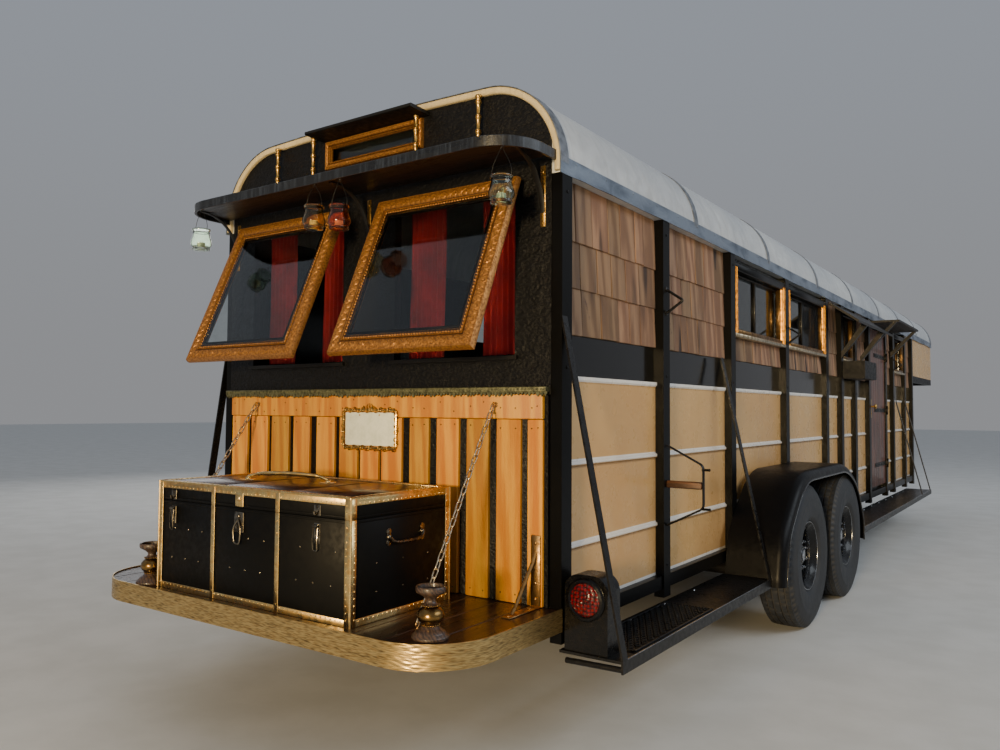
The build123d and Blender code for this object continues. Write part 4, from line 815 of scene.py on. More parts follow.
arch_foot = arch_line(-0.016)[0][0]
lines = snapped([-0.975 + 0.0082 * n for n in range(238)], (-0.8, -0.16, 0.16, 0.8))
levels = snapped([1.335 + 0.0082 * n for n in range(155)], (1.49, 2.15))
work = Stock()
number, faces = {}, []
for row in range(len(levels) - 1):
    for col in range(len(lines) - 1):
        if not sheeted((lines[col] + lines[col + 1]) / 2, (levels[row] + levels[row + 1]) / 2):
            continue
        square = ((col, row), (col, row + 1), (col + 1, row + 1), (col + 1, row))
        for c, r in square:
            if (c, r) not in number:
                number[c, r] = len(number)
                x, z = lines[c], levels[r]
                fold = noise.noise(Vector((x * 34, 1.7, z * 42)))
                crease = abs(noise.noise(Vector((x * 74, 4.2, z * 90))))
                deep = 0.0022 + 0.0013 * fold + 0.0017 * (0.5 - crease)
                work.add_points([(x, -max(0.0006, deep), z)], [0.5])
        faces.append(tuple(number[spot] for spot in square))
work.add_faces(faces)
hand_over(work, "crumpled_sheet", rear_black, "", 180)

# Turned brass spindles, four beads on each
work = Stock()
bead = ((0.08, 0.0075), (0.5, 0.0085), (0.72, 0.0105), (0.78, 0.0135), (0.84, 0.0138), (0.88, 0.0105),
        (0.91, 0.0125), (0.95, 0.0125), (0.98, 0.009))
for x, tall in ((-0.6, 0.288), (-0.345, 0.302), (0.3, 0.302), (0.635, 0.286)):
    reach = (tall - 0.04) / 4
    work.turned((x, -0.032, shelf_top), upward, [(0.016, 0), (0.016, 0.006), (0.011, 0.012), (0.0085, 0.02)]
                + [(radius, 0.02 + reach * (n + share)) for n in range(4) for share, radius in bead]
                + [(0.009, tall - 0.018), (0.0135, tall - 0.012), (0.0155, tall - 0.006), (0.013, tall - 0.001),
                   (0.004, tall)], 20)
hand_over(work, "brass_spindles", brass, "spindles", 50)

# Bent arms under the shelf
work = Stock()
reach = 0.215
for x in (-0.93, 0.0, 0.93):
    bend = [(x, -reach + (reach - 0.008) * sin(t), shelf_low - reach + (reach - 0.003) * cos(t))
            for t in [pi / 2 * n / 16 for n in range(17)]]
    work.finish = 0
    work.tube([(x, -reach - 0.03, shelf_low - 0.003)] + bend, 0.0115, flat=0.27, up=upward)
    work.finish = 1
    work.bar((x - 0.012, -0.0055, 1.985), (x + 0.012, -0.0005, 2.225), 0.0015)
    for z in (2.0, 2.045, 2.11, 2.2):
        work.dome((x, -0.0055, z), back, 0.0045, 0.002)
hand_over(work, "shelf_arms", [iron, brass], "shelf_brackets", 50)

# Glass jars hung on wire bails, each with a candle
jar_line = (
    (0.004, -0.1), (0.026, -0.1), (0.0345, -0.098), (0.036, -0.093), (0.0335, -0.0885), (0.0345, -0.084),
    (0.040, -0.076), (0.0425, -0.065), (0.0405, -0.052), (0.0365, -0.038), (0.0335, -0.024), (0.0318, -0.013),
    (0.033, -0.009), (0.0365, -0.005), (0.0375, -0.001), (0.0365, 0.003), (0.033, 0.003), (0.030, -0.003),
    (0.0285, -0.012), (0.0303, -0.024), (0.0333, -0.038), (0.0373, -0.052), (0.0392, -0.065), (0.0368, -0.076),
    (0.031, -0.0865), (0.022, -0.0925), (0.004, -0.093))
hook = 2.2335
for number, (x, y, drop, tint) in enumerate(((-0.819, -0.3048, 0.077, jar_green), (-0.03, -0.305, 0.073, jar_amber),
                                             (0.123, -0.305, 0.093, jar_orange), (0.918, -0.2697, 0.089, jar_green))):
    top = 2.209 - drop
    work = Stock()
    work.turned((x, y, top), upward, [(r * 1.16, h) for r, h in jar_line], 28)
    work.finish = 1
    for sign in (-1, 1):
        bail = ((0.0395, top - 0.006), (0.047, top + 0.012), (0.036, top + 0.05), (0.004, hook - 0.01))
        work.tube(rounded([(x + sign * out, y, z) for out, z in bail], 0.03, 6), 0.0011, 6)
    work.tube([(x + 0.0382 * cos(t), y + 0.0382 * sin(t), top - 0.013) for t in circle(28)], 0.0011, 6, loop=True)
    work.tube([(x, y, hook - 0.014), (x - 0.004, y, hook - 0.01), (x, y, hook - 0.004), (x, y, hook)], 0.0014, 6)
    work.finish = 2
    work.turned((x, y, top - 0.092), upward, ((0.004, 0.0), (0.018, 0.0), (0.018, 0.03), (0.004, 0.031)), 20)
    hand_over(work, "jar_%d" % (number + 1), [tint, iron, plate_enamel],
              "" if number else "lantern_jars", 60)

# Curtains: gathered cloth on a rod, sewn round it and falling in folds
rod, rod_y, half, foot = 2.175, 0.085, 0.1, 1.502
folds, columns, rows = 7, 7 * 14, 26
for number, centre in enumerate((-0.68, -0.28, 0.28, 0.68)):
    phase = chance.uniform(0, 6)
    lines = []
    for n in range(rows + 1):
        drop = n / rows
        z = rod - 0.010 - (rod - 0.010 - foot) * drop
        sway = 0.006 * sin(drop * 2.6 + phase) * drop
        line = []
        for u in [k / columns for k in range(columns + 1)]:
            wave = sin(u * folds * 2 * pi + phase * 0.2 + 0.5 * sin(drop * 2 + phase))
            deep = (0.0045 + 0.0055 * min(1.0, drop * 4)) * (0.8 + 0.2 * sin(u * 11 + phase))
            line.append((centre - half + 2 * half * u + sway, rod_y - 0.002 + deep * wave, z))
        lines.append(line)
    head = [[(x, rod_y + 0.0105 * cos(t) + 0.15 * (y - rod_y), rod + 0.0105 * sin(t)) for x, y, z in lines[0]]
            for t in [pi * 2 * (0.75 - n / 8) for n in range(6, -1, -1)]]
    work = Stock()
    work.loft(head + lines, caps=False, closed=False)
    piece = hand_over(work, "curtain_%d" % (number + 1), curtain_red, "" if number else "curtains", 180)

# Side windows: gold fluted uprights on the first two, bronze on the others, with a black head and a sill
low, high, rail, depth = 1.712, 2.15, 0.048, 0.049
flutes = [(0.0, 0.0), (0.0, depth * 0.8), (0.04, depth * 0.86)]
for a in (0.08, 0.37, 0.66):
    flutes += [(a, depth), (a + 0.045, depth)]
    flutes += [(a + 0.045 + 0.2 * t, depth - 0.009 * sin(pi * t)) for t in (0.15, 0.35, 0.5, 0.65, 0.85, 1.0)]
flutes += [(0.965, depth), (0.985, depth * 0.86), (1.0, depth * 0.8), (1.0, 0.0)]
work = Stock()
for sign in (1, -1):
    for start, end, fill in bays:
        if fill not in ("window", "screen"):
            continue
        a, b = start + 0.0005, end - 0.0005
        fluted = fill == "window" and end < 5
        for y0, y1 in ((a, a + rail), (b - rail, b)):
            work.finish = 0 if fluted else 1
            if fluted:
                work.loft([[(sign * (skin + x), y0 + y * (y1 - y0), z) for y, x in flutes]
                           for z in (low + 0.02, high - 0.03)])
            else:
                work.bar((sign * skin, y0, low + 0.02), (sign * (skin + 0.036), y1, high - 0.03))
        c, d = a + rail, b - rail
        middle = (c + d) / 2
        for work.finish, x0, x1, y0, y1, z0, z1, soft in (
                (2, 0, 0.047, a, b, high - 0.048, high, 0.004), (2, 0, 0.049, a, b, high - 0.008, high, 0.002),
                (1, 0, 0.0415, c, d, low + 0.02, low + 0.048, 0.004),
                (1, 0, 0.030, c, c + 0.012, low + 0.03, high - 0.04, 0.002),
                (1, 0, 0.030, d - 0.012, d, low + 0.03, high - 0.04, 0.002),
                (3, 0, 0.052, a, b, low, low + 0.022, 0.004),
                (4, -0.012, 0.004, c, d, low + 0.048, low + 0.06, 0.002),
                (4, -0.012, 0.004, c, d, high - 0.06, high - 0.048, 0.002),
                (4, -0.012, 0.004, middle - 0.008, middle + 0.008, low + 0.048, high - 0.048, 0.002)):
            work.bar((sign * (skin + x0), y0, z0), (sign * (skin + x1), y1, z1), soft)
hand_over(work, "window_casings", [gilt_bright, window_bronze, post_black, sill_metal, iron],
          "side_casings", 40)

# Black wire mesh over the second window and the small screened one
work = Stock()
pitch = 0.026
for sign in (1, -1):
    for start, end, fill in (bays[3], bays[5]):
        y0, y1, z0, z1 = start + 0.05, end - 0.05, 1.765, 2.1
        if fill == "window":
            y0 = (y0 + y1) / 2
        rise, run = z1 - z0, y1 - y0
        for lean in (1, -1):
            n = -int(rise / pitch) - 1
            while n * pitch < run:
                first = y0 + n * pitch if lean > 0 else y1 - n * pitch
                clip = []
                for t in (0.0, 1.0):
                    y = first + lean * rise * t
                    inside = min(max(y, y0), y1)
                    clip.append((inside, z0 + rise * t + (inside - y) * lean))
                if abs(clip[0][0] - clip[1][0]) > 0.004:
                    x = sign * (skin + 0.004 + 0.0012 * lean)
                    work.tube([(x, *clip[0]), (x, *clip[1])], 0.0011, 4)
                n += 1
hand_over(work, "window_mesh", iron)

# Tail deck planks
deck_depth, deck_corner, plank_count = 0.7, 0.265, 15


def deck_edge(x):
    """How far the deck reaches back at a place across it."""
    over = abs(x) - (half_width - deck_corner)
    return -deck_depth if over <= 0 else deck_corner - deck_depth - sqrt(max(0.0, deck_corner ** 2 - over ** 2))


work = Stock()
pitch = 2 * half_width / plank_count
for n in range(plank_count):
    low, high = -half_width + n * pitch + 0.0012, -half_width + (n + 1) * pitch - 0.0012
    work.cut = chance.random()
    steps = [low + (high - low) * k / 8 for k in range(9)]
    top = deck_top - chance.uniform(0.0, 0.0008)
    rings = []
    for z, inset in ((0.491, 0.002), (0.493, 0.0), (top - 0.0022, 0.0), (top, 0.0022)):
        ends = [(min(max(x, low + inset), high - inset), deck_edge(x) + inset, z) for x in steps]
        rings.append([(low + inset, -0.001 - inset, z)] + ends + [(high - inset, -0.001 - inset, z)])
    work.loft(rings)
    work.finish = 1
    for y in (-0.035, -0.39, deck_edge((low + high) / 2) + 0.045):
        for x in (low + 0.03, high - 0.03):
            if y > deck_edge(x) + 0.01:
                work.dome((x, y, top - 0.0004), upward, 0.0035, 0.0012, 6)
    work.finish = 0
work.cut = 0.2
work.bar((-0.955, -0.09, 0.448), (0.955, -0.002, 0.49), 0.004)
hand_over(work, "deck_planks", [deck_plank, iron], "tail_deck", 30)

# Streaked metal band round the deck's edge
work = Stock()
grow, rows, foot, head = 0.0008, 34, 0.4485, 0.534
path = edge_path(half_width + grow, deck_depth + grow, deck_corner + grow, 330, 76, 84)
rings, heights, length = [], [], 0.0
for n, ((x, y), (ox, oy)) in enumerate(path):
    length += dist(path[n - 1][0], (x, y)) if n else 0.0
    ring, marks = [], []
    for k in range(rows + 1):
        z = foot + (head - foot) * k / rows
        streak = noise.noise(Vector((length * 34, z * 430, 3.1)))
        broad = noise.noise(Vector((length * 7, z * 60, 8.7)))
        dent = 0.0008 * max(-1.0, min(1.0, streak * 2.0)) + 0.0004 * broad
        out = 0.0044 + dent * (1.0 if 0 < k < rows else 0.2)
        ring.append((x + ox * out, y + oy * out, z))
        marks.append(max(0.0, min(1.0, 0.62 + dent / 0.0022)))
    rings.append(ring + [(x, y, head), (x, y, foot)])
    heights.append(marks + [0.6, 0.6])
work.loft(rings, heights=heights)
hand_over(work, "deck_edge_band", band_gold, "deck_band", 60)

# Candle holders: turned foot and cup with a ball between them
work = Stock()
foot_line = (
    (0.03, 0.0), (0.061, 0.0), (0.063, 0.006), (0.061, 0.012), (0.053, 0.017), (0.0515, 0.021), (0.047, 0.026),
    (0.038, 0.031), (0.031, 0.037), (0.0275, 0.042), (0.030, 0.046), (0.024, 0.049))
cup_line = (
    (0.018, 0.103), (0.028, 0.105), (0.030, 0.109), (0.022, 0.113), (0.0165, 0.120), (0.0175, 0.128), (0.027, 0.138),
    (0.041, 0.146), (0.048, 0.150), (0.0505, 0.155), (0.0505, 0.166), (0.048, 0.170), (0.044, 0.168),
    (0.042, 0.158), (0.030, 0.152), (0.004, 0.150))
ball_line = (
    (0.022, 0.047), (0.031, 0.050), (0.039, 0.058), (0.0438, 0.068), (0.0445, 0.076), (0.042, 0.087), (0.034, 0.097),
    (0.022, 0.105))
for x, y in ((0.858, -0.573), (-0.645, -0.63)):
    base = (x, y, deck_top)
    for work.finish, line in ((0, foot_line), (0, cup_line), (1, ball_line)):
        work.turned(base, upward, line, 36)
    for z in (0.108, 0.0445):
        for t in circle(22):
            work.dome((x + 0.0285 * cos(t), y + 0.0285 * sin(t), deck_top + z), (cos(t), sin(t), 0), 0.0035, 0.003, 6)
    work.finish = 2
    work.turned(base, upward, ((0.006, 0.151), (0.020, 0.1515), (0.020, 0.156), (0.006, 0.157)), 20)
hand_over(work, "candle_holders", [stand_wood, bronze_ball, trim_cream], "candle_stands", 50)

# Braced brackets at the deck's ends, and the eyes that hold the chains
high_eye, low_eye = (0.724, -0.038, 1.296), (0.756, -0.52, 0.546)
work = Stock()
for sign in (-1, 1):
    x = sign * 0.915
    work.bar((x - 0.021, -0.0255, 0.534), (x + 0.021, -0.021, 0.80), 0.0015)
    work.bar((x - 0.021, -0.225, deck_top), (x + 0.021, -0.021, deck_top + 0.0045), 0.0015)
    work.tube([(x, -0.026, 0.735), (x, -0.045, 0.70), (x, -0.16, deck_top + 0.03), (x, -0.185, deck_top + 0.006)],
              0.0085, flat=0.5, up=upward)
    for z in (0.56, 0.62, 0.77):
        work.dome((x, -0.0255, z), back, 0.0065, 0.003)
    for y in (-0.06, -0.205):
        work.dome((x, y, deck_top + 0.0045), upward, 0.0065, 0.003)
    for (x, y, z), root in ((high_eye, (0, 0.0175, 0)), (low_eye, (0, 0, -0.0175))):
        centre = Vector((sign * x, y, z))
        foot = centre + Vector(root)
        work.tube([centre + Vector((0, cos(t), sin(t))) * 0.0085 for t in circle(16)], 0.0026, loop=True)
        out = (foot - centre).normalized()
        work.tube([centre + out * 0.009, foot], 0.0035)
        work.turned(foot, -out, ((0.004, 0.0), (0.0105, 0.0), (0.0105, 0.0012), (0.004, 0.002)), 12)
hand_over(work, "deck_braces", brace_tan, "deck_brackets", 45)

# Chains of round-wire links, each a quarter turn from the next
work = Stock()
wire, wide, count = 0.0029, 0.0085, 27
for sign in (-1, 1):
    head, foot = [Vector((sign * x, y, z)) for x, y, z in (high_eye, low_eye)]
    run = foot - head
    heading = run.normalized()
    across = heading.cross(Vector(upward)).normalized()
    pitch = (run.length - 0.006) / count
    reach = (pitch + 0.0052) / 2 - wide
    for n in range(count):
        side = across if n % 2 else across.cross(heading)
        centre = head + heading * (0.003 + pitch * (n + 0.5))
        work.tube([centre + heading * end * (reach + wide * cos(t)) + side * end * wide * sin(t)
                   for end in (1, -1) for t in [pi * (k / 8 - 0.5) for k in range(9)]], wire, loop=True)
hand_over(work, "deck_chain_links", chain_steel, "deck_chains", 60)

# Trunk: a chest and its cover of thin boards, bound in brass
x0, x1, y0, y1 = -0.564, 0.564, -0.65, -0.112
ends, sides = ((x0, 1), (x1, -1)), ((y0, 1), (y1, -1))
lid_foot, lid_top, board, hinge_y = 0.893, 0.968, 0.011, -0.103
edge_wide, rivet_in, rivet_end, proud, seam = 0.026, 0.018, 0.03, 0.0035, 0.0028
panel_x, latch_x, hinge_x, clasp_x = (-0.38, 0.0, 0.38), (-0.46, 0.40), (-0.38, 0.38), -0.034


def rivets(start, end, out, pitch=0.024, radius=0.0038):
    """Row of rivet heads between two points."""
    start, end = Vector(start), Vector(end)
    count = max(1, round((end - start).length / pitch))
    for n in range(count):
        work.dome(start.lerp(end, (n + 0.5) / count), out, radius, 0.0016, 6)


def bound(low_z, high_z, rail_z, turn, floor_at, inset):
    """Board box with brass corners, straps and a rail with rivets over its outside."""
    for a, b, c, d in ((x0, y0, x1, y0 + board), (x0, y1 - board, x1, y1), (x0, y0 + board, x0 + board, y1 - board),
                       (x1 - board, y0 + board, x1, y1 - board)):
        work.bar((a, b, low_z), (c, d, high_z if turn > 0 else high_z - 0.0005))
    work.bar((x0 + inset, y0 + inset, floor_at), (x1 - inset, y1 - inset, floor_at + board))
    work.finish = 1
    for x, sx in ends:
        for y, sy in sides:
            px, py, qx, qy = x - sx * proud, y - sy * proud, x + sx * rivet_in, y + sy * rivet_in
            work.bar((px, py, low_z), (x + sx * edge_wide, y, high_z), 0.0012)
            work.bar((px, y, low_z), (x, y + sy * edge_wide, high_z), 0.0012)
            work.tube([(x - sx * proud * 0.2, y - sy * proud * 0.2, z) for z in (low_z, high_z)], 0.005)
            rivets((qx, py, low_z + 0.012), (qx, py, high_z - 0.012), (0, -sy, 0))
            rivets((px, qy, low_z + 0.012), (px, qy, high_z - 0.012), (-sx, 0, 0))
    rail_end, rail_mid, out = rail_z + turn * edge_wide, rail_z + turn * 0.019, proud - 0.0007
    for y, sy in sides:
        work.bar((x0, y - sy * out, rail_z), (x1, y, rail_end), 0.0012)
        rivets((x0 + rivet_end, y - sy * out, rail_mid), (x1 - rivet_end, y - sy * out, rail_mid), (0, -sy, 0))
    for x, sx in ends:
        work.bar((x - sx * out, y0, rail_z), (x, y1, rail_end), 0.0012)
        rivets((x - sx * out, y0 + rivet_end, rail_mid), (x - sx * out, y1 - rivet_end, rail_mid), (-sx, 0, 0))
    front = y0 - proud - 0.0007
    for x in (-0.197, 0.187):
        work.bar((x - 0.011, front, low_z), (x + 0.011, y0, high_z), 0.0012)
        rivets((x, front, low_z + 0.01), (x, front, high_z - 0.01), back, 0.045, 0.0026)


def looped(points, corner, radius):
    """Bent wire on the trunk's front, from places across, out and up."""
    work.tube(rounded([(x, y0 - out, z) for x, out, z in points], corner), radius, 6 if radius < 0.003 else 8)


work = Stock()
bound(deck_top, lid_foot - 0.0006, deck_top, 1, deck_top + 0.001, board)
work.finish = 0
for y, sy in sides:
    work.bar((x0, y, lid_foot - 0.012), (x1, y - sy * seam, lid_foot - 0.006), 0.001)
for x, sx in ends:
    work.bar((x, y0, lid_foot - 0.012), (x - sx * seam, y1, lid_foot - 0.006), 0.001)
work.finish = 2
for x in panel_x:
    for z, shift in ((0.66, 0.0), (0.78, 0.02)):
        for dx in (-0.09, 0.0, 0.09):
            work.dome((x + dx + shift, y0, z), back, 0.0045, 0.0028)
for x, sx in ends:
    out = (-sx, 0, 0)
    for z in (0.63, 0.73):
        for y in (-0.52, -0.38, -0.24):
            work.dome((x, y, z), out, 0.0035, 0.002)
    # Bail handle with two leaf-shaped plates
    z, a, b = 0.815, -0.46, -0.275
    for y in (a, b):
        for rise in (-0.019, 0.0, 0.019):
            work.turned((x, y, z + rise), out, ((0.004, 0), (0.013, 0), (0.013, 0.002), (0.004, 0.003)), 10)
        work.dome((x - sx * 0.002, y, z), out, 0.010, 0.008, 10)
    work.tube(rounded([(x - sx * far, y, z - drop) for far, y, drop in (
        (0.009, a, 0), (0.012, a + 0.012, 0.016), (0.014, a + 0.04, 0.022), (0.014, b - 0.04, 0.022),
        (0.012, b - 0.012, 0.016), (0.009, b, 0))], 0.02), 0.0062)
for x in latch_x:
    # Lower half of a spring catch, with the loop hanging
    work.bar((x - 0.016, y0 - 0.004, 0.80), (x + 0.016, y0, 0.872), 0.0015)
    looped([(x - 0.011, 0.008, 0.868), (x - 0.011, 0.014, 0.812), (x - 0.011, 0.011, 0.775),
            (x + 0.011, 0.011, 0.775), (x + 0.011, 0.014, 0.812), (x + 0.011, 0.008, 0.868)], 0.01, 0.0023)
    work.turned((x - 0.014, y0 - 0.009, 0.862), (1, 0, 0),
                ((0.002, 0), (0.0055, 0), (0.0055, 0.028), (0.002, 0.028)), 10)
    for z in (0.808, 0.83):
        work.dome((x, y0 - 0.004, z), back, 0.0035, 0.002)
work.finish = 3
work.bar((clasp_x - 0.028, y0 - 0.005, 0.80), (clasp_x + 0.028, y0, 0.878), 0.006)
looped([(clasp_x + across, out, z) for across, out, z in (
    (0, 0.008, 0.85), (-0.024, 0.013, 0.815), (-0.016, 0.012, 0.757), (0.016, 0.012, 0.757), (0.024, 0.013, 0.815),
    (0, 0.008, 0.85))], 0.02, 0.004)
work.dome((clasp_x, y0 - 0.005, 0.862), back, 0.009, 0.006, 12)
for x in hinge_x:
    for low, high in ((-0.035, -0.0203), (0.0203, 0.035)):
        tall = high - low
        work.turned((x + low, hinge_y, lid_foot), (1, 0, 0),
                    ((0.003, 0), (0.006, 0.0003), (0.006, tall - 0.0003), (0.003, tall)), 12)
        work.bar((x + low, -0.112, lid_foot - 0.05), (x + high, -0.1085, lid_foot - 0.003), 0.001)
    work.tube([(x - 0.036, hinge_y, lid_foot), (x + 0.036, hinge_y, lid_foot)], 0.0028, 10)
hand_over(work, "trunk_chest", [leather, trunk_brass, latch_dark, latch_dark], "trunk_body", 40)

work = Stock()
bound(lid_foot, lid_top, lid_top, -1, lid_top - board, 0.001)
lid_face = lid_top + proud
for y, sy in sides:
    work.finish = 1
    work.bar((x0, y - sy * proud, lid_top), (x1, y + sy * edge_wide, lid_face), 0.0012)
    rivets((x0 + rivet_end, y + sy * rivet_in, lid_face), (x1 - rivet_end, y + sy * rivet_in, lid_face), upward)
    work.tube([(x, y - sy * 0.0004, lid_top + 0.0004) for x in (x0, x1)], 0.0045)
    work.finish = 0
    work.bar((x0, y, lid_foot + 0.006), (x1, y - sy * seam, lid_foot + 0.012), 0.001)
for x, sx in ends:
    work.finish = 1
    work.bar((x - sx * proud, y0, lid_top), (x + sx * edge_wide, y1, lid_face), 0.0012)
    rivets((x + sx * rivet_in, y0 + rivet_end, lid_face), (x + sx * rivet_in, y1 - rivet_end, lid_face), upward)
    work.tube([(x - sx * 0.0004, y, lid_top + 0.0004) for y in (y0, y1)], 0.0045)
    work.finish = 0
    work.bar((x, y0, lid_foot + 0.006), (x - sx * seam, y1, lid_foot + 0.012), 0.001)
    work.finish = 1
    for y in (y0, y1):
        work.turned((x, y, lid_top + 0.0005), upward,
                    ((0.003, -0.004), (0.0075, -0.003), (0.0075, 0.002), (0.003, 0.0045)), 12)
work.finish = 4
for x in panel_x:
    work.bar((x - 0.18, y0 + 0.04, lid_top - 0.001), (x + 0.18, y1 - 0.04, lid_top + 0.0012), 0.001)
work.finish = 2
for x in latch_x:
    # Upper half of a spring catch, with the hook
    work.bar((x - 0.017, y0 - 0.004, 0.898), (x + 0.017, y0, 0.936), 0.0015)
    looped([(x, 0.003, 0.905), (x, 0.015, 0.903), (x, 0.017, 0.915)], 0.006, 0.005)
    work.dome((x, y0 - 0.004, 0.93), back, 0.0035, 0.002)
work.finish = 3
work.bar((clasp_x - 0.024, y0 - 0.005, 0.898), (clasp_x + 0.024, y0, 0.952), 0.006)
work.dome((clasp_x, y0 - 0.005, 0.93), back, 0.012, 0.007, 12)
for x, y in ((-0.33, -0.385), (0.055, -0.28)):
    for turn in [n * 1.257 for n in range(5)]:
        work.turned((x + 0.022 * cos(turn), y + 0.022 * sin(turn), lid_top + 0.001), upward,
                    ((0.003, 0), (0.014, 0), (0.013, 0.0025), (0.003, 0.0035)), 10)
    work.dome((x, y, lid_top + 0.003), upward, 0.012, 0.011, 12)
grip = rounded([(x, y, lid_top + rise) for x, y, rise in (
    (-0.33, -0.385, 0.012), (-0.28, -0.371, 0.028), (-0.1375, -0.3325, 0.034), (0.005, -0.294, 0.028),
    (0.055, -0.28, 0.012))], 0.04, 6)
work.tube(grip, [0.006 + 0.0035 * sin(pi * n / (len(grip) - 1)) ** 2 + 0.0012 * sin(n * 1.9)
                 for n in range(len(grip))], 10)
for x in hinge_x:
    work.turned((x - 0.0197, hinge_y, lid_foot), (1, 0, 0),
                ((0.0034, 0), (0.006, 0.0003), (0.006, 0.0391), (0.0034, 0.0394)), 12)
    work.bar((x - 0.0197, -0.112, lid_foot + 0.003), (x + 0.0197, -0.1085, lid_foot + 0.05), 0.001)
hand_over(work, "trunk_cover", [leather, trunk_brass, latch_dark, trunk_brass, deck_plank],
          "trunk_lid", 40, "lid")

# Wheels: half the section of a tyre, from the bead to the middle of the tread
tyre_half = [
    (-0.083, 0.203), (-0.094, 0.209), (-0.1, 0.222), (-0.103, 0.2245), (-0.106, 0.235), (-0.1145, 0.275),
    (-0.1168, 0.31), (-0.1158, 0.335), (-0.1165, 0.3375), (-0.1125, 0.35), (-0.111, 0.3525), (-0.1065, 0.37),
    (-0.101, 0.387), (-0.094, 0.4), (-0.0875, 0.4085), (-0.0835, 0.412), (-0.082, 0.4165), (-0.06, 0.4185),
    (-0.058, 0.411), (-0.051, 0.411), (-0.049, 0.419), (-0.025, 0.4198), (-0.023, 0.411), (-0.016, 0.411),
    (-0.014, 0.42), (0.0, 0.42)]
tyre_line = tyre_half + [(-a, r) for a, r in reversed(tyre_half[:-1])]
wheel_high, wheel_out = 0.42, 1.2125


def tyre_work(sign, x, y):
    """Tyre with grooved tread, shoulder lugs and fine side ribs."""
    stock = Stock()
    rings, heights = [], []
    for n, t in enumerate(circle(264)):
        ring, marks = [], []
        for a, r in tyre_line:
            wide, mark, cut = a, 1.0, 0.0
            if r > 0.3985 and abs(a) > 0.0825 and n % 4 < 2:
                cut, mark = 0.0065, 0.35
            elif r > 0.418 and 0.045 < abs(a) < 0.083 and n % 4 == 1:
                cut, mark = 0.006, 0.35
            elif r > 0.418 and abs(a) < 0.05 and (n + (0 if a < 0 else 2)) % 8 == 0:
                cut, mark = 0.005, 0.35
            elif 0.41 < r < 0.4115:
                mark = 0.2
            elif 0.345 < r < 0.352 and n % 2:
                wide = a * 0.988
            ring.append((sign * wide + x, y + (r - cut) * sin(t), wheel_high + (r - cut) * cos(t)))
            marks.append(mark)
        rings.append(ring)
        heights.append(marks)
    stock.loft(rings, loop=True, heights=heights)
    return stock


def rim_work(sign, x, y):
    """Steel rim: stepped barrel, dished disc with round holes, hub and nuts."""
    stock = Stock()
    centre, axis = Vector((x, y, wheel_high)), Vector((sign, 0, 0))
    stock.turned(centre, axis, (
        (0.1905, -0.085), (0.2027, -0.088), (0.2027, -0.080), (0.1905, -0.07), (0.176, -0.052), (0.172, 0.0),
        (0.176, 0.046), (0.1885, 0.066), (0.1955, 0.082), (0.2026, 0.084), (0.2015, 0.0895), (0.196, 0.0885),
        (0.189, 0.076), (0.182, 0.066), (0.171, 0.05), (0.166, 0.03), (0.1655, 0.0), (0.168, -0.046),
        (0.184, -0.08)), 96, loop=True)
    holes, spokes, hole_radius, hole_circle = 8, 12, 0.02, 0.138
    span = holes * spokes
    radii = (0.064, 0.08, 0.098, hole_circle - 0.0205, hole_circle, hole_circle + 0.0205, 0.1645, 0.167)
    lifts = (0.034, 0.036, 0.032, 0.024, 0.018, 0.014, 0.012, 0.008)
    hole_edge = [(3, k) for k in range(3, 10)] + [(4, 9)] + [(5, k) for k in range(9, 2, -1)] + [(4, 3)]

    def ray(t):
        return Vector((0, cos(t), sin(t)))

    loops = []
    for shift in (0.0, -0.007):
        base = len(stock.points)
        for r, lift in zip(radii, lifts):
            stock.add_points([centre + axis * (lift + shift) + ray(t) * r for t in circle(span)])
        stock.add_faces([(base + row * span + n, base + row * span + (n + 1) % span,
                          base + (row + 1) * span + (n + 1) % span, base + (row + 1) * span + n)
                         for row in range(len(radii) - 1) for n in range(span)
                         if row not in (3, 4) or not 3 <= n % spokes <= 8])
        # The hole's edge is drawn round by moving its points.
        for h in range(holes):
            middle = ray(circle(span)[h * spokes + 6])
            for row, k in hole_edge:
                n = h * spokes + k
                away = (ray(circle(span)[n]) * radii[row] - middle * hole_circle).normalized() * hole_radius
                lift = lifts[4] + shift + (lifts[5] - lifts[3]) * away.dot(middle) / 0.041
                spot = centre + axis * lift + middle * hole_circle + away
                stock.points[base + row * span + n] = stock.place @ spot
        loops.append([[base + row * span + h * spokes + k for row, k in hole_edge] for h in range(holes)])
    for near, far in zip(*loops):
        stock.add_faces(list(zip(near, near[1:] + near[:1], far[1:] + far[:1], far)))
    stock.turned(centre, axis, (
        (0.0304, -0.06), (0.058, -0.06), (0.061, -0.05), (0.061, 0.03), (0.058, 0.036), (0.0575, 0.046),
        (0.054, 0.051), (0.048, 0.052), (0.046, 0.056), (0.03, 0.058), (0.004, 0.0585), (0.004, 0.02),
        (0.0304, 0.02)), 48, loop=True)
    stock.finish = 1
    for t in circle(8, 0.5):
        stock.turned(centre + axis * 0.035 + ray(t) * 0.082, axis, (
            (0.011, 0.0), (0.0105, 0.004), (0.0095, 0.005), (0.0095, 0.018), (0.007, 0.021), (0.0055, 0.021),
            (0.0055, 0.027), (0.001, 0.028)), 6)
    for line in (((0.2018, 0.0898), (0.2003, 0.0912), (0.1985, 0.0908), (0.1982, 0.0888)),
                 ((0.1705, 0.0512), (0.1695, 0.0524), (0.168, 0.0522), (0.1675, 0.046))):
        stock.turned(centre, axis, line, 96, loop=True)
    stock.turned(centre, axis, ((0.035, 0.0575), (0.034, 0.062), (0.026, 0.065), (0.002, 0.066)), 32)
    return stock


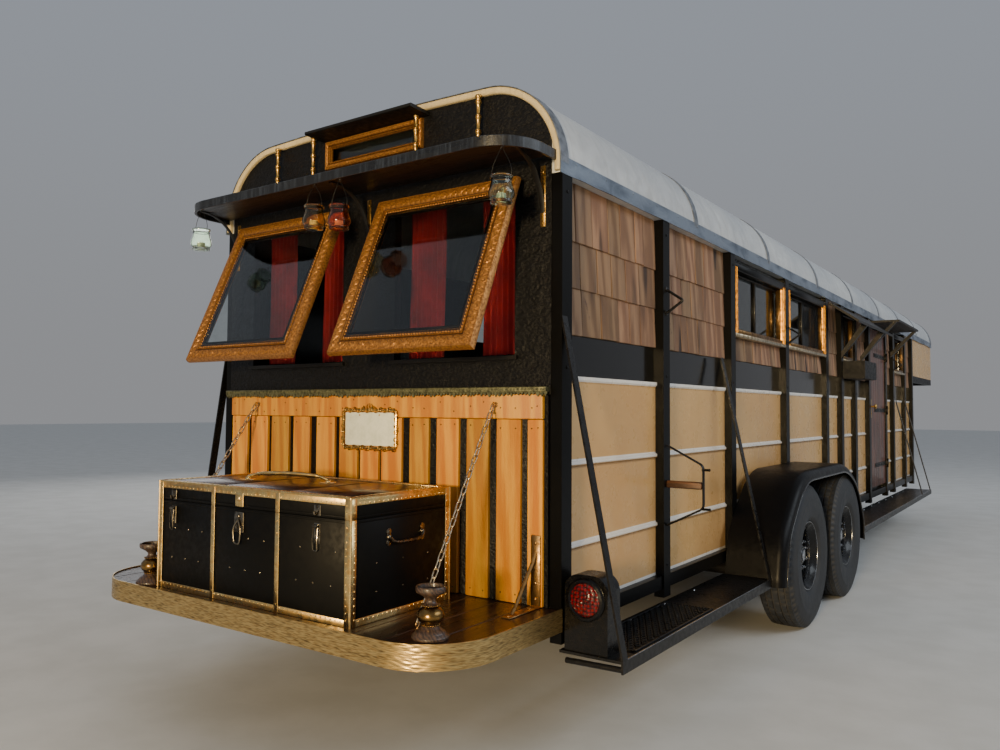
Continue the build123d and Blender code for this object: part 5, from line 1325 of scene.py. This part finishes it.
for name, sign, place in (
        ("rear_right", 1, 2.4), ("front_right", 1, 3.38), ("rear_left", -1, 2.4), ("front_left", -1, 3.38)):
    hand_over(tyre_work(sign, sign * wheel_out, place), "treaded_tyre_" + name, rubber,
              "tyre_" + name, 40, "wheel_" + name)
    hand_over(rim_work(sign, sign * wheel_out, place), "steel_rim_" + name, [rim_black, steel],
              "rim_" + name, 40, "wheel_" + name)

# Tail lamps with pressed lenses, and the metal edge of the running boards
work = Stock()
size, y, z = 0.062, 0.010, 0.5783
for sign in (1, -1):
    x = sign * 1.113
    work.finish = 0
    work.turned((x, y, z), back, [(size + r, h) for r, h in (
        (-0.002, -0.002), (0.017, 0.0), (0.018, 0.006), (0.012, 0.013), (0.003, 0.015), (-0.001, 0.010))],
                48, loop=True)
    work.finish = 1
    rings = []
    for row in range(13):
        r = size * (1 - row / 12.5)
        ring = []
        for n, t in enumerate(circle(48)):
            lift = 0.0055 + 0.006 * (1 - (r / size) ** 2)
            if 0 < row < 12:
                lift += 0.0016 * (1 if (n // 4 + row // 2) % 2 else -1) * (1 if (n // 2 + row) % 2 else 0.4)
            ring.append((x + r * cos(t), y - lift, z + r * sin(t)))
        rings.append(ring)
    work.loft(rings)
    work.finish = 2
    for start, end in ((0.0, 1.76), (4.11, 7.96)):
        work.bar((sign * 1.2695, start + 0.001, 0.3812), (sign * 1.2635, end - 0.001, 0.3838), 0.001)
        for n in range(int((end - start) / 0.36)):
            work.dome((sign * 1.035, start + 0.18 + n * 0.36, 0.382), upward, 0.008, 0.005)
    work.finish = 3
    work.tube([(sign * 1.265, 0.010, 0.35), (sign * 1.03, 0.012, 0.345)], 0.011, 12)
hand_over(work, "lamps_and_board_trim", [lamp_black, lamp_lens, steel, board_black], "tail_lamps", 28)

# Toothed grating on the rear step boards
work = Stock()
x0, x1, y0, y1, z = 1.03, 1.255, 0.13, 0.93, 0.382
for sign in (1, -1):
    for a, b, c, d in ((x0, y0, x1, y0 + 0.008), (x0, y1 - 0.008, x1, y1),
                       (x0, y0, x0 + 0.008, y1), (x1 - 0.008, y0, x1, y1)):
        work.bar((sign * a, b, z), (sign * c, d, z + 0.007), 0.001)
    for row in range(27):
        for column in range(7):
            cx, cy = x0 + 0.02 + (column + 0.5 * (row % 2)) * 0.0295, y0 + 0.02 + row * 0.0292
            if cx > x1 - 0.014:
                continue
            for lean in (1, -1):
                tip = (sign * cx, cy + lean * 0.0165, z + 0.0055)
                work.stick((sign * (cx - 0.0125), cy, z + 0.003), tip, 0.0035, 0.006, 0.0006)
                work.stick(tip, (sign * (cx + 0.0125), cy, z + 0.003), 0.0035, 0.006, 0.0006)
hand_over(work, "step_grating", pad_worn, "", 30)

# Sheet fenders with a rolled outer lip, and the dark plate behind the wheels
work = Stock()
path = rounded([(0, y, z) for y, z in (
    (1.762, 0.338), (1.762, 0.382), (1.8205, 0.62), (2.18, 0.929), (3.32, 0.929), (3.667, 0.776), (3.8705, 0.48),
    (3.8705, 0.34))], 0.2, 9)
sheet = []
for before, point, after in zip(path[:1] + path, path, path[1:] + path[-1:]):
    ahead = (after - before).normalized()
    sheet.append((point, Vector((0, -ahead.z, ahead.y))))
lip = [(1.0172, 0.0), (1.15, 0.0), (1.29, 0.0)]
lip += [(1.29 + 0.047 * sin(t), -0.047 * (1 - cos(t))) for t in [pi / 16 * k for k in range(1, 9)]] + [(1.337, -0.06)]
lip += [(x, drop - 0.003) if x < 1.3 else (x - 0.0022, drop - 0.001) for x, drop in reversed(lip)]
for sign in (1, -1):
    work.finish = 0
    work.loft([[(sign * x, *(point + out * drop)[1:]) for x, drop in lip] for point, out in sheet])
    work.finish = 1
    work.tube([(sign * 1.3368, *(point - out * 0.057)[1:]) for point, out in sheet], 0.0058, 10)
    work.finish = 0
    work.loft([[(sign * x, p.y, p.z - 0.004) for p in path if p.z > 0.4] for x in (1.0158, 1.0172)])
    for y, z in ((2.0, 0.7), (2.4, 0.88), (2.9, 0.88), (3.4, 0.88)):
        work.dome((sign * 1.0172, y, z), (sign, 0, 0), 0.007, 0.004)
hand_over(work, "rolled_fenders", [fender_black, bead_black], "fenders", 50)

# Bent hooks and the flat loop, then the wooden arm in the loop and the bolts of the posts
work = Stock()
wall = 1.0165
for place in (0.98, 3.03, 7.18):
    work.tube(rounded([(wall, place, 1.856), (1.1, place, 1.8), (wall, place, 1.744)], 0.012, 4), 0.0066, 10)
    for z in (1.856, 1.744):
        work.bar((1.0152, place - 0.014, z - 0.012), (1.0185, place + 0.014, z + 0.012), 0.001)
place = 0.98
work.tube(rounded([(wall, place, 1.112), (1.195, place, 1.022), (1.195, place, 0.825), (wall, place, 0.735)],
                  0.02, 4), 0.0115, 12, flat=0.42, up=upward)
hand_over(work, "bent_hooks", stay_black, "wall_hooks", 40)

work = Stock()
work.bar((1.0152, 0.968, 0.912), (1.188, 0.992, 0.946), 0.005)
work.finish = 1
for z in (1.003, 0.822):
    work.tube([(1.188, place, z), (1.224, place, z)], 0.006)
    work.dome((1.224, place, z), (1, 0, 0), 0.007, 0.005)
for place in posts:
    for sign in (1, -1):
        if sign < 0 or place not in (5.85, 6.72):
            for z in (0.55, 1.44, 2.12):
                work.dome((sign * half_width, place, z), (sign, 0, 0), 0.008, 0.004)
hand_over(work, "loop_arm_and_bolts", [arm_wood, post_black])

# Entry door: upright boards on a leaf, three strap hinges, knob and lock plate
work = Stock()
y0, y1, z0, z1 = 5.8935, 6.6765, 0.534, 2.104
metal_face, knob_y = 1.006, 5.955
work.bar((0.967, y0, z0), (0.985, y1, z1))
count = 8
pitch = (y1 - y0) / count
for n in range(count):
    work.cut = chance.random()
    work.bar((0.9845, y0 + n * pitch + 0.0008, z0 + 0.001), (1.0025, y0 + (n + 1) * pitch - 0.0008, z1 - 0.001),
             0.0045, 2)
work.finish = 1
for z in (0.745, 1.295, 1.845):
    work.bar((1.0015, 6.12, z - 0.02), (metal_face, 6.672, z + 0.02), 0.0015)
    for y in (6.16, 6.3, 6.44, 6.58):
        work.dome((metal_face, y, z), (1, 0, 0), 0.008, 0.004)
    work.turned((1.025, 6.6795, z - 0.0147), upward,
                ((0.0055, 0), (0.009, 0.0003), (0.009, 0.0297), (0.0055, 0.03)), 16)
    work.bar((1.0035, 6.671, z - 0.0147), (1.025, 6.678, z + 0.0153), 0.001)
work.finish = 2
work.bar((1.002, knob_y - 0.02, 1.22), (metal_face, knob_y + 0.02, 1.40))
work.turned((metal_face, knob_y, 1.33), (1, 0, 0), (
    (0.008, 0), (0.0075, 0.02), (0.012, 0.026), (0.023, 0.034), (0.024, 0.042), (0.016, 0.05), (0.003, 0.052)))
work.turned((metal_face, knob_y, 1.26), (1, 0, 0), ((0.008, 0), (0.008, 0.002), (0.003, 0.003)), 12)
hand_over(work, "boarded_door", [door_board, iron, brass], "entry_door", body="door")

# Straps over the roof and a slightly buckled strip along each eave
work = Stock()
spans = [(-0.02, 0.045)] + [(1.36 + n * 1.25 - 0.028, 1.36 + n * 1.25 + 0.028) for n in range(8)] + [(10.155, 10.22)]
for start, end in spans:
    work.loft([[(xb, start, zb), (xa, start + 0.0015, za), (xa, end - 0.0015, za), (xb, end, zb)]
               for (xa, za), (xb, zb) in zip(arch_line(0.004), arch_line(0.0004))])
work.finish = 1
count, rows, head = 420, 5, 2.2515
for sign in (1, -1):
    rings = []
    for y in [-0.02 + 10.24 * n / count for n in range(count + 1)]:
        wave = noise.noise(Vector((y * 2.1, sign * 3.0, 0.5)))
        ripple = noise.noise(Vector((y * 7.0, sign * 9.0, 2.5)))
        low = 2.184 + 0.004 * wave + 0.002 * ripple
        swell = 0.0045 * abs(wave) + 0.002 * ripple
        line = [(0.0035 + swell * (1 - k / rows) ** 1.3, low + (head - low) * k / rows) for k in range(rows + 1)]
        line += [(0.0003, head), (0.0003, low)]
        rings.append([(sign * (half_width + out), y, z) for out, z in line])
    work.loft(rings)
    for n in range(40):
        work.dome((sign * (half_width + 0.0045), 0.1 + n * 0.255, 2.238), (sign, 0, 0), 0.005, 0.002, 6)
hand_over(work, "roof_straps_and_drip", [strap_dark, flash_blue], "roof_flashing", 40)

# Stage, light and camera
ground = bpy.data.meshes.new("pale_floor")
far = 60.0
ground.from_pydata([(-far, -far, 0), (far, -far, 0), (far, far, 0), (-far, far, 0)], [], [(0, 1, 2, 3)])
pale = Finish("pale_floor")
pale.feed("Base Color", pale.mix(pale.range(pale.clouds(3.0, 5.0)), (206, 206, 202), (216, 216, 213)))
pale.shader.inputs["Roughness"].default_value = 0.85
ground.materials.append(pale.made)
floor_piece = bpy.data.objects.new("pale_floor", ground)
link(floor_piece)

world = bpy.data.worlds.new("studio")
world.use_nodes = True
bpy.context.scene.world = world
sky = Wiring(world.node_tree)
backdrop = sky.tree.nodes["Background"]
rise = sky.part(sky.put("TexCoord", {}).outputs["Generated"])
tone = sky.mix(sky.range(rise, 0.0, 0.5), (0.66, 0.67, 0.70, 1), (0.70, 0.76, 0.86, 1))
sky.tree.links.new(tone, backdrop.inputs["Color"])
backdrop.inputs["Strength"].default_value = 0.42

# Large soft lights, each aimed at a point
for name, place, aim, width, height, power, colour in (
        ("warm_key", (3.3, rear - 10.8, 2.0), (0.2, rear + 0.5, 1.3), 1.3, 1.3, 1600, (1.0, 0.74, 0.38)),
        ("side_fill", (10.0, 0.0, 6.5), (0, 0.5, 1.2), 12.0, 5.0, 560, (0.84, 0.92, 1.0)),
        ("far_fill", (-9.0, 3.0, 6.0), (0, 0.5, 1.2), 10.0, 5.0, 300, (1.0, 0.98, 0.95))):
    light = bpy.data.lights.new(name, "AREA")
    light.shape, light.size, light.size_y = "RECTANGLE", width, height
    light.energy, light.color = power, colour
    stand = bpy.data.objects.new(name, light)
    stand.location = place
    stand.rotation_euler = (Vector(aim) - Vector(place)).to_track_quat("-Z", "Y").to_euler()
    link(stand)

turn, lift, roll = radians(35.01), radians(2.46), radians(0.35)
ahead = Vector((-sin(turn) * cos(lift), cos(turn) * cos(lift), sin(lift)))
right = Vector((cos(turn), sin(turn), 0))
up = right.cross(ahead)
right, up = right * cos(roll) + up * sin(roll), up * cos(roll) - right * sin(roll)
view = bpy.data.cameras.new("camera")
view.sensor_width, view.lens, view.clip_end = 36.0, 29.154, 200.0
camera = bpy.data.objects.new("camera", view)
place = (2.581, rear - 2.645, 1.276)
camera.matrix_world = Matrix([(right[n], up[n], -ahead[n], place[n]) for n in range(3)] + [(0, 0, 0, 1)])
link(camera)
bpy.context.scene.camera = camera
